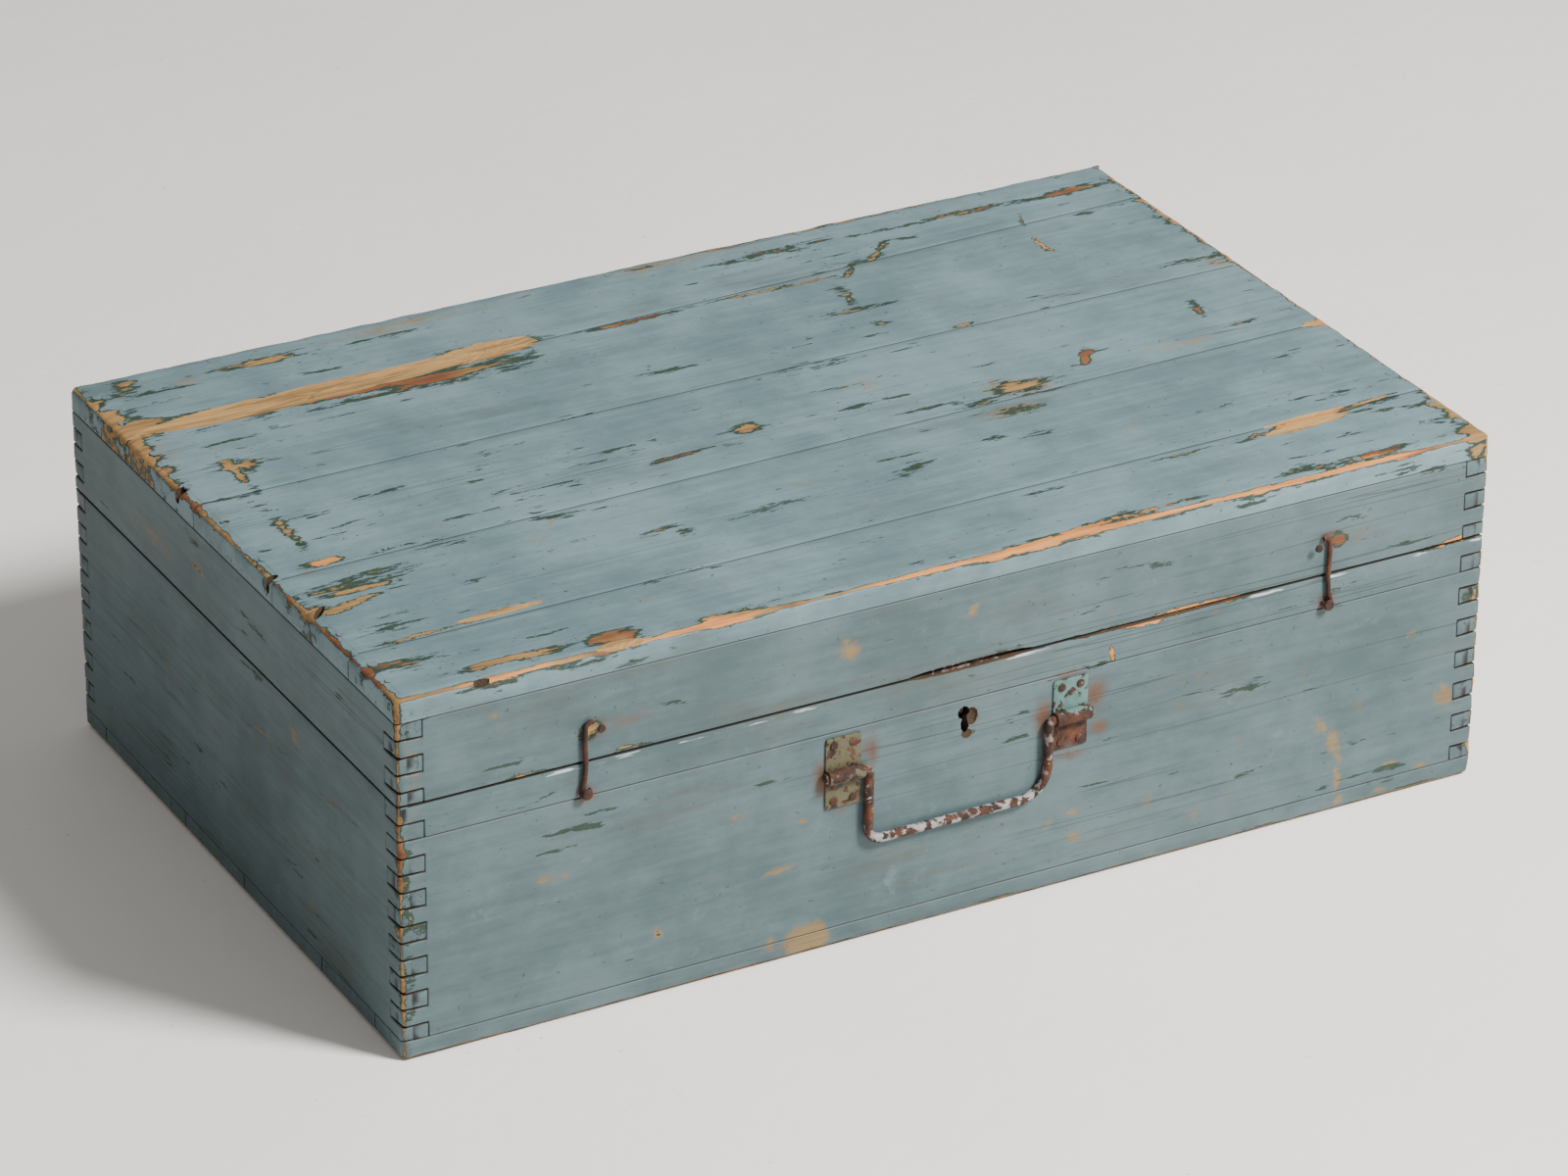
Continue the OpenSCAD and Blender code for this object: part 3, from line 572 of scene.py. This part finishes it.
def laid_board(node, number, count, body, outer, inner, lift=0.0, drop=0.0):
    """One board of a row: a block tapered to its neighbours' seams and rounded where it is worn. Its
    outer face is lifted or dropped a little, so that the heads of its nails stand proud."""
    slices, corner_round, rim_round, seam_round = 190, 0.004, 0.0034, 0.0009
    low, high = (corner.copy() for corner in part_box(f"{node}_{number}"))
    back_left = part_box(f"{node}_{number + 1}")[0].y if number < count else high.y
    front_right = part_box(f"{node}_{number - 1}")[1].y if number > 1 else low.y
    outer_z, inner_z = (high.z - drop, low.z) if drop else (low.z + lift, high.z)
    piece = start_piece(f"worn_{node}_{number}", low + Vector((0, 0, lift)), high - Vector((0, 0, drop)))
    bpy.ops.object.mode_set(mode="EDIT")
    for side, at_y, shift in ((1, low.y, front_right - low.y), (-1, high.y, back_left - high.y)):
        pick(piece, "verts", lambda v: v.co.x * side > 0 and abs(v.co.y - at_y) < 0.0001)
        bpy.ops.transform.translate(value=(0, shift, 0))
    pick(piece, "edges", lambda edge: abs(edge.verts[0].co.x - edge.verts[1].co.x) > 0.1)
    bpy.ops.mesh.subdivide(number_cuts=slices)
    pick(piece, "edges", lambda edge: runs(edge, 1, 0.02))
    bpy.ops.mesh.subdivide(number_cuts=max(3, round((high.y - low.y) / 0.006)))

    def corner(edge):
        place = edge.verts[0].co
        return runs(edge, 2) and abs(place.x) > half_length - 0.0001 and abs(place.y) > half_depth - 0.0001

    def near_side(place):
        return abs(place.y) > half_depth - 0.007

    def rim(edge):
        places = [vertex.co for vertex in edge.verts]
        return (all(abs(place.z - outer_z) < 0.0001 for place in places)
                and all(near_side(place) or abs(place.x) > half_length - 0.0001 for place in places)
                and len(edge.link_faces) == 2
                and sum(abs(face.normal.z) > 0.9 for face in edge.link_faces) == 1)

    def seam(edge):
        return (not any(near_side(vertex.co) for vertex in edge.verts)
                and any(abs(vertex.co.z - inner_z) > 0.0001 for vertex in edge.verts)
                and sum(abs(face.normal.y) > 0.9 for face in edge.link_faces) == 1)

    ease(piece, corner, corner_round, 3)
    ease(piece, rim, rim_round, 3)
    ease(piece, seam, seam_round)
    bpy.ops.object.mode_set(mode="OBJECT")
    finish_board(piece, f"{node}_{number}", body, outer, inner, lambda v: (
        0.0002 < min(half_length - abs(v.co.x), half_depth - abs(v.co.y)) < 0.0045
        and abs(v.co.z - outer_z) < 0.0042))
    return piece


top_worn = [
    (-250, 167, 190, 13, 1, 0.75), (-130, 172, 55, 15, 3, 0.85), (-240, 152, 70, 9, -4, 0.55),
    (-200, 151, 135, 19, 0, 0.42), (-395, 160, 12, 85, 0, 0.55), (-385, 170, 22, 30, 0, 0.5),
    (-368, 234, 14, 20, -30, 0.45), (-20, 168, 75, 5, 1, 0.5), (70, 170, 50, 2.5, 1, 0.5),
    (-355, 78, 8, 42, 0, 0.42), (-345, 85, 12, 18, 0, 0.3), (-362, -10, 6, 55, 0, 0.27),
    (-358, -63, 20, 8, -3, 0.62), (-320, -66, 55, 3, -2, 0.3), (-365, -95, 55, 12, 4, 0.28),
    (-340, -105, 70, 7, 3, 0.3), (-375, -125, 40, 5, 12, 0.6), (-392, -122, 14, 14, 40, 0.5),
    (-292, -176, 38, 4, 3, 0.7), (-350, -181, 40, 2, 2, 0.5), (-370, -210, 40, 14, 0, 0.25),
    (-320, -236, 70, 7, -2, 0.45), (-245, -240, 26, 12, -10, 0.6), (-170, -246, 36, 5, 0, 0.5),
    (300, -241, 90, 7, 0, 0.3), (150, -244, 120, 3, 0, 0.3), (392, -240, 16, 16, 45, 0.6),
    (394, -200, 8, 40, 0, 0.35), (392, -53, 14, 5.5, 0, 1.1), (300, -178, 45, 7, 4, 0.75),
    (270, -183, 36, 3.5, 2, 0.6), (355, -174, 45, 2, 8, 0.4), (210, -183, 40, 2, 0, 0.4),
    (177, 58, 15, 5, 0, 0.6), (190, 68, 3, 14, -12, 0.3), (293, 148, 3.5, 20, 5, 0.65),
    (302, 190, 3, 12, -20, 0.4), (128, 132, 6, 22, -5, 0.4), (127, 86, 9, 7, 0, 0.4),
    (150, 170, 5, 22, -50, 0.3), (185, 190, 5, 26, -48, 0.35), (158, -42, 32, 19, -20, 0.36),
    (140, -75, 34, 10, 3, 0.34), (225, -24, 5, 20, -30, 0.5), (345, -29, 20, 5, -5, 0.36),
    (-30, -16, 14, 10, 10, 0.42), (-90, 5, 9, 9, 0, 0.3), (-80, -32, 55, 5, 3, 0.3),
    (110, 224, 60, 6, -3, 0.3), (230, 221, 170, 5, 0, 0.36), (345, 219, 50, 8, 0, 0.4),
    (-250, 226, 80, 5, -2, 0.26), (396, 150, 8, 110, 0, 0.36), (215, -125, 20, 4, 0, 0.28),
    (265, -134, 40, 3, 3, 0.28), (35, -120, 16, 8, 20, 0.26), (-135, -132, 14, 8, -40, 0.28),
    (-70, -128, 30, 4, 5, 0.2), (331, 4, 5, 20, -15, 0.3), (100, 168, 60, 2, 1, 0.4)]
top_stained = [
    (-160, 237, 90, 12, 0, 0.5), (60, 240, 110, 12, 0, 0.45), (-385, 130, 18, 40, 0, 0.4),
    (70, 2, 18, 14, 0, 0.4), (158, -42, 34, 20, -20, 0.8), (140, -75, 36, 11, 3, 0.7),
    (-225, -98, 16, 9, 0, 0.5), (-205, -80, 6, 5, 0, 0.5), (-206, -203, 10, 10, 0, 0.4),
    (-150, -212, 7, 7, 0, 0.4), (195, -133, 18, 9, 0, 0.4), (300, -38, 60, 8, 0, 0.4),
    (385, 60, 14, 30, 0, 0.4), (-330, 222, 12, 8, 0, 0.5), (-35, -108, 34, 9, 0, 0.3),
    (180, 15, 14, 8, 0, 0.35)]
top_fresh = [
    (140, -250, 262, 12, 0, 1.5), (-200, -250, 70, 7, 0, 1.0), (-320, -250, 60, 6, 0, 0.8),
    (392, -53, 16, 8, 0, 2.0), (-358, -64, 16, 7, 0, 1.2), (-292, -176, 36, 4, 3, 0.9),
    (300, -177, 46, 6, 4, 0.9), (-200, 170, 120, 3, 2, 0.35), (293, 150, 3, 14, 5, 0.8)]
nail_stand = 0.0003
top_boards = []


def on_board(place, low, high):
    """True for a mark that reaches a board of the lid or comes within 3 mm of it."""
    _, middle, half_long, half_wide, degrees, _ = place
    reach = 3 + half_wide + half_long * abs(math.sin(math.radians(degrees)))
    return low.y * 1000 - reach < middle < high.y * 1000 + reach


for number in range(1, 6):
    low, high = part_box(f"top_board_{number}")
    near = [[place for place in places if on_board(place, low, high)]
            for places in (top_worn, top_stained, top_fresh)]
    # Painted light: the lid's paint is given paler than that of the front and the ends, so that the top
    # reads as lit more brightly than the sides.
    paint = old_paint(f"lit_top_paint_{number}", 0, 2, *near, flecks=1.55, scuffed=0.9,
                      light=(0.158, 0.236, 0.260), dark=(0.090, 0.144, 0.160))
    top_boards.append(laid_board("top_board", number, 5, "lid", paint, raw_lengthways, drop=nail_stand))
for number in range(1, 7):
    laid_board("bottom_board", number, 6, "box", front_paint, raw_lengthways, lift=nail_stand)
top_mm = top_z * 1000
gouge = [((-262, 166, top_mm + 3.2), (165, 16, 5.6), 1.5), ((-130, 172, top_mm + 3.0), (52, 17, 5.0), 3)]
gouged_wood = raw_pine("gouged_wood", 0, (0.095, 0.048, 0.018), (0.46, 0.28, 0.11), grimy=0.12)
carve(top_boards[4], gouge, gouged_wood)
carve(top_boards[3], gouge, gouged_wood)
carve(top_boards[4], [((-296, 253, top_mm), (9, 3.4, 5), 0),
                      ((-392, 256, top_mm), (20, 7, 9), 0)], gouged_wood)
carve(top_boards[3], [((-398, 74, top_mm - 2), (7, 4, 8), 0)])
carve(top_boards[2], [((-398, -66, top_mm - 3), (6, 3, 9), 0)])
carve(top_boards[2], [((393, -53, top_mm + 0.5), (14, 5, 3.4), 0)], gouged_wood)
carve(top_boards[1], [((-391, -124, top_mm + 0.5), (9, 2.6, 5), 48)])
carve(top_boards[1], [((-358, -64, top_mm + 1.5), (19, 7, 3.5), 0),
                      ((300, -177, top_mm + 1.5), (42, 7, 3.4), 3),
                      ((-292, -176, top_mm + 1.0), (36, 4, 2.8), 2)], gouged_wood)
carve(top_boards[0], [((-341, -252, top_mm), (7, 3.5, 5), 0)])
carve(top_boards[0], [((-245, -253, top_mm + 1), (22, 9, 4), 0),
                      ((300, -184, top_mm + 1.5), (40, 6, 3.4), 3)], gouged_wood)


# ---- Cuts for the lock ----
# The chest lock is let into the top of the front: a pocket for its works, a rebate for its plate and
# a keyhole, whose edge has splintered. The wood over it has shrunk and chipped into a dark gap.
def block(low, high):
    """A box-shaped cutter between two corners."""
    return start_piece("cutter", Vector(low), Vector(high))


case_low, case_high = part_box("lock_case")
plate_low, plate_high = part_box("lock_plate")
link_low, link_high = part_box("link_plate")
play, past_rim = 0.0002, 0.002
works_low = case_low - Vector((play, play, play))
works_high = (case_high.x + play, plate_high.y + past_rim, box_top + past_rim)
seat_low = (plate_low.x - play, case_high.y - play, plate_low.z - play)
rebate_low = (plate_low.x - play, plate_low.y - play, box_top - 0.0022)
plate_end = (plate_high.x + play, plate_high.y + past_rim, box_top + past_rim)
link_gap = 0.0003
for board in (box_front_upper, box_front_lower):
    cut_out(board, block(works_low, works_high))
    cut_out(board, block(seat_low, plate_end))
cut_out(box_front_upper, block(rebate_low, plate_end))
cut_out(lid_front, block((link_low.x - link_gap, link_low.y - link_gap, box_top),
                         (link_high.x + link_gap, link_high.y + link_gap, link_high.z + 0.0001)))
rim_mm, split_mm = box_top * 1000, split_z * 1000
carve(box_front_upper, [((4, -253, rim_mm + 0.2), (50, 4, 2.0), 0),
                        ((150, -252.6, rim_mm), (95, 1.8, 1.3), 0)])
carve(lid_front, [((6, -252, split_mm + 0.6), (47, 9, 3.0), 0)])
carve(box_front_lower, [((1, -246, 147.5), (5.2, 12, 5.4), 0), ((1.5, -246, 139), (3.3, 12, 7.0), 0),
                        ((6.5, -252.5, 144), (4.5, 2.6, 6.5), 0), ((3, -252.5, 132), (4.5, 1.2, 3.6), 0)])


# ---- Handle plates ----
# Straps of thin sheet iron, pressed into a round loop across the middle for the bail's pin and nailed
# on by their corners. The paint on them has flaked and the iron has rusted.
def old_iron(name, paint, cover, bright=0.0):
    """Rusted iron with what is left of its paint, over more of it the higher the cover is, and with
    metal rubbed bright. The cover is a number or is worked out from the place."""
    material, shader, at = new_material(name)
    shader.inputs["Specular IOR Level"].default_value = 0.4
    share = cover(at) if callable(cover) else cover
    coarse, fine = at.noise(90, detail=8, roughness=0.7), at.noise(500, detail=5, roughness=0.65)
    rust = coarse.step(0.38, 0.70).mix((0.018, 0.010, 0.008), (0.115, 0.036, 0.014))
    rust = fine.step(0.58, 0.74).mix(rust, (0.20, 0.07, 0.024))
    rust = at.noise(60, detail=6).step(0.60, 0.7).mix(rust, (0.060, 0.052, 0.044))
    flaked = (at.noise(130, detail=7, roughness=0.62) + (coarse - 0.5) * 0.4 + share - 0.5).step(0.49, 0.515)
    skin = at.noise(200, detail=4).mix(tuple(part * 0.6 for part in paint),
                                       tuple(part * 1.35 for part in paint))
    colour = flaked.mix(rust, skin)
    rubbed = at.noise(170, detail=5).step(0.55, 0.65) * bright
    metallic = rubbed * (1 - flaked)
    colour = metallic.mix(colour, (0.42, 0.38, 0.34))
    height = coarse * 0.5 + fine * 0.35 + flaked * 0.4
    connect(shader, colour, 0.82 - metallic * 0.4 - flaked * 0.15, height, 0.0005, metallic)
    return material


def place_piece(piece, node, body, *materials):
    """Rusty iron work: shaded smooth by angle, in its CAD node's place on a body."""
    for material in materials:
        piece.data.materials.append(material)
    bpy.ops.object.shade_smooth_by_angle(angle=math.radians(40))
    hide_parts(node)
    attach(piece, body)


def roughen(piece, size, depth):
    """Corrodes a piece's surface, with pits about so large and so deep."""
    pits = bpy.data.textures.new("pits", "CLOUDS")
    pits.noise_scale, pits.noise_depth = size, 3
    bpy.ops.object.modifier_add(type="DISPLACE")
    rust = piece.modifiers[-1]
    rust.texture, rust.texture_coords, rust.strength, rust.mid_level = pits, "LOCAL", -depth, 0.1
    bpy.ops.object.modifier_apply(modifier=rust.name)


rod_r = (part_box("handle_bail")[1].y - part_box("handle_bail")[0].y) / 2
swing_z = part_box("handle_bail")[1].z - rod_r
swing_y = (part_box("handle_bail")[0].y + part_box("handle_bail")[1].y) / 2
sheet_t = 0.0015
loop_sides = 40
plate_irons = {
    "left": old_iron("left_plate_iron", (0.088, 0.080, 0.042), 0.53),
    "right": old_iron("right_plate_iron", (0.085, 0.165, 0.150),
                      lambda at: 0.3 + at.axis(2).step(0.126, 0.134) * 0.28)}


def breaks(edge, axis):
    """True for an edge where a face that looks along an axis meets one that looks across it."""
    turns = [abs(face.normal[axis]) for face in edge.link_faces]
    return any(turn > 0.9 for turn in turns) and any(turn < 0.1 for turn in turns)


for side, iron in plate_irons.items():
    low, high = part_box("handle_plate_" + side)
    piece = start_piece("strap_" + side, Vector((low.x, high.y - sheet_t, low.z)), high)
    bpy.ops.object.mode_set(mode="EDIT")
    ease(piece, lambda edge: runs(edge, 1), 0.002, 4)
    pick(piece, "edges", lambda edge: runs(edge, 2, 0.02))
    bpy.ops.mesh.subdivide(number_cuts=30)
    ease(piece, lambda edge: breaks(edge, 1), 0.0004)
    bpy.ops.mesh.select_all(action="DESELECT")
    bpy.ops.mesh.primitive_cylinder_add(
        vertices=loop_sides, radius=rod_r + sheet_t, depth=high.x - low.x,
        location=((low.x + high.x) / 2, swing_y, swing_z), rotation=(0, math.pi / 2, 0))
    pick(piece, "faces", lambda face: abs(face.normal.x) > 0.9 and len(face.verts) == loop_sides)
    bpy.ops.mesh.inset(thickness=sheet_t * 0.9)
    ease(piece, lambda edge: breaks(edge, 0) and edge.calc_length() < 0.0012, 0.0004)
    bpy.ops.object.mode_set(mode="OBJECT")
    roughen(piece, 0.007, 0.0003)
    place_piece(piece, "handle_plate_" + side, "box", iron)


# ---- Bail ----
# A drop handle of round iron rod, bent by hand: its left corner is tight and its right one wide. Rust
# has come through the paint on its legs, and hands have rubbed its grip pale and bright.
def arc(middle, radius, start, end, steps):
    """Points of a bend in the plane of the front, from one angle to another in degrees."""
    angles = [math.radians(start + (end - start) * step / steps) for step in range(steps + 1)]
    return [Vector((middle[0] + radius * math.cos(angle), middle[1], middle[2] + radius * math.sin(angle)))
            for angle in angles]


def bent_rod(name, path, radius, sides):
    """A rod whose end disc is drawn out from point to point of a path in the plane of the front, and
    turned at each one to face along it."""
    bpy.ops.object.select_all(action="DESELECT")
    bpy.ops.mesh.primitive_circle_add(vertices=sides, radius=radius, fill_type="NGON", location=path[0],
                                      rotation=(path[1] - path[0]).to_track_quat("Z", "Y").to_euler())
    piece = bpy.context.object
    piece.name = piece.data.name = name
    bpy.ops.object.transform_apply(location=True, rotation=True, scale=True)
    bpy.ops.object.mode_set(mode="EDIT")
    bpy.ops.mesh.select_all(action="SELECT")
    heading = (path[1] - path[0]).normalized()
    for number in range(1, len(path)):
        bpy.ops.mesh.extrude_region_move(TRANSFORM_OT_translate={"value": path[number] - path[number - 1]})
        ahead = (path[min(number + 1, len(path) - 1)] - path[number - 1]).normalized()
        turn_by = math.atan2(ahead.x, ahead.z) - math.atan2(heading.x, heading.z)
        turn_by = (turn_by + math.pi) % (2 * math.pi) - math.pi
        if abs(turn_by) > 0.0001:
            bpy.ops.transform.rotate(value=-turn_by, orient_axis="Y", center_override=path[number])
        heading = ahead
    bpy.ops.mesh.select_all(action="SELECT")
    bpy.ops.mesh.remove_doubles(threshold=0.00001)
    bpy.ops.mesh.normals_make_consistent(inside=False)
    bpy.ops.object.mode_set(mode="OBJECT")
    return piece


def along_path(points, spacing):
    """The path with its long straight stretches divided, so that the rod can be roughened."""
    path = [points[0]]
    for point in points[1:]:
        start, count = path[-1], max(1, round((point - path[-1]).length / spacing))
        path += [start.lerp(point, step / count) for step in range(1, count + 1)]
    return path


bail_low, bail_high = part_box("handle_bail")
leg_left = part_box("handle_plate_left")[1].x + 0.001 + rod_r
leg_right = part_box("handle_plate_right")[0].x - 0.001 - rod_r
grip_z, shoulder = bail_low.z + rod_r, rod_r + 0.001
tight, wide = 0.009, 0.021
rod = rod_r * 0.97
bail_path = [Vector((bail_low.x, swing_y, swing_z))]
bail_path += arc((leg_left - shoulder, swing_y, swing_z - shoulder), shoulder, 90, 0, 6)
bail_path += arc((leg_left + tight, swing_y, grip_z + tight), tight, 180, 270, 8)
bail_path += arc((leg_right - wide, swing_y, grip_z + wide), wide, 270, 360, 12)
bail_path += arc((leg_right + shoulder, swing_y, swing_z - shoulder), shoulder, 180, 90, 6)
bail_path += [Vector((bail_high.x, swing_y, swing_z))]
bail = bent_rod("bent_bail", along_path(bail_path, 0.0025), rod, 24)
roughen(bail, 0.005, 0.0005)
bail_iron = old_iron("bail_iron", (0.27, 0.28, 0.28),
                     lambda at: 0.36 + at.axis(2).step(0.09, 0.079) * 0.12, 0.5)
place_piece(bail, "handle_bail", "handle", bail_iron)


# ---- Wire hooks ----
# Each is one piece of soft iron wire: an eye turned round its screw, a straight shank and a crook at
# the top that opens towards the middle of the chest.
hook_iron = old_iron("hook_iron", (0.10, 0.12, 0.11), 0.30)
wire_r, eye_r, shank = 0.0018, 0.0045, 0.045
for side, facing in (("left", 1), ("right", -1)):
    low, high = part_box("hook_" + side)
    pivot = Vector((low.x + eye_r if facing > 0 else high.x - eye_r, (low.y + high.y) / 2, low.z + eye_r))
    crook_r = high.z - wire_r - pivot.z - shank
    loop = eye_r - wire_r
    path = arc(pivot, loop, 40, -180, 18)
    path += [pivot + Vector((x, 0, z)) for x, z in (
        (-loop * 0.8, 0.0035), (-0.0006, 0.009), (0.0003, 0.02), (-0.0002, 0.034), (0, shank))]
    path += arc((pivot.x + crook_r, pivot.y, pivot.z + shank), crook_r, 165, 90, 8)
    path += [pivot + Vector((crook_r + 0.0015, 0, shank + crook_r))]
    if facing < 0:
        path = [Vector((2 * pivot.x - point.x, point.y, point.z)) for point in path]
    piece = bent_rod("wire_hook_" + side, along_path(path, 0.0016), wire_r * 0.98, 14)
    roughen(piece, 0.003, 0.0004)
    place_piece(piece, "hook_" + side, f"hook_{side}_wire", hook_iron)


# ---- Heads of nails and screws ----
# Round iron heads on the front, four nails in each handle plate and two screws for each hook. They
# are hammered or turned home and thick with rust and old paint.
def round_heads(node, body, centres, radius, height, material):
    """One domed head is shaped and copied to each place, each with its own turn, and the heads are
    joined to one piece."""
    low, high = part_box(node)
    heads = []
    for number, (x, z) in enumerate(centres):
        bpy.ops.object.select_all(action="DESELECT")
        if not heads:
            bpy.ops.mesh.primitive_cylinder_add(
                vertices=28, radius=radius, depth=height,
                location=(x, low.y + height / 2, z), rotation=(math.pi / 2, 0, 0))
            head = bpy.context.object
            bpy.ops.object.transform_apply(location=True, rotation=True, scale=True)
            bpy.ops.object.mode_set(mode="EDIT")
            front = low.y + 0.00001
            ease(head, lambda edge: all(vertex.co.y < front for vertex in edge.verts), height * 0.8, 4)
            pick(head, "faces", lambda face: face.normal.y < -0.9 and len(face.verts) > 20)
            bpy.ops.mesh.inset(thickness=radius * 0.3)
            bpy.ops.mesh.inset(thickness=radius * 0.2)
            bpy.ops.object.mode_set(mode="OBJECT")
        else:
            heads[0].select_set(True)
            bpy.context.view_layer.objects.active = heads[0]
            bpy.ops.object.duplicate(linked=False)
            head = bpy.context.object
            bpy.ops.object.mode_set(mode="EDIT")
            bpy.ops.mesh.select_all(action="SELECT")
            bpy.ops.transform.translate(value=(x - centres[0][0], 0, z - centres[0][1]))
            bpy.ops.transform.rotate(value=number * 1.7, orient_axis="Y", center_override=(x, low.y, z))
            bpy.ops.object.mode_set(mode="OBJECT")
        heads.append(head)
    for head in heads:
        head.select_set(True)
    bpy.context.view_layer.objects.active = heads[0]
    bpy.ops.object.join()
    piece = bpy.context.object
    piece.name = piece.data.name = "heads_" + node
    roughen(piece, 0.0025, 0.0004)
    place_piece(piece, node, body, material)


head_iron = old_iron("head_iron", (0.10, 0.12, 0.11), 0.36)
plate_nails = []
for side in ("left", "right"):
    low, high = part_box("handle_plate_" + side)
    plate_nails += [((low.x + high.x) / 2 + dx, (low.z + high.z) / 2 + dz)
                    for dx in (-0.007, 0.007) for dz in (-0.020, 0.020)]
round_heads("handle_plate_nails", "box", plate_nails, 0.003, 0.001, head_iron)
for node, body, radius in (("hook_pivot_screws", "box", 0.004), ("hook_catch_screws", "lid", 0.003)):
    low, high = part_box(node)
    middle = (low.z + high.z) / 2
    round_heads(node, body, [(low.x + radius, middle), (high.x - radius, middle)], radius, 0.0018, head_iron)


# ---- Hinges, lock and nails ----
# The hinges on the back, the lock's works, its link plate and the board nails keep their exact
# shapes and take rusted iron, the lid's nails under the same paint as its boards.
hinge_nodes = ["hinge_" + part for part in (
    "box_leaf_left", "box_leaf_right", "lid_leaf_left", "lid_leaf_right", "pin_left", "pin_right",
    "box_screws", "lid_screws")]
lock_nodes = ["lock_plate", "lock_case", "lock_drill_pin", "lock_bolt", "lock_screws",
              "link_plate", "link_plate_screws"]
for nodes, material in (
        (hinge_nodes + ["bottom_nails"], old_iron("fittings_iron", (0.06, 0.085, 0.09), 0.34)),
        (lock_nodes, old_iron("lock_iron", (0.05, 0.05, 0.05), 0.25, 0.6)),
        (["top_nails"], old_iron("painted_iron", (0.12, 0.175, 0.19), 0.66))):
    for node in nodes:
        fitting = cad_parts[node]
        fitting.data.materials.clear()
        fitting.data.materials.append(material)


low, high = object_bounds()
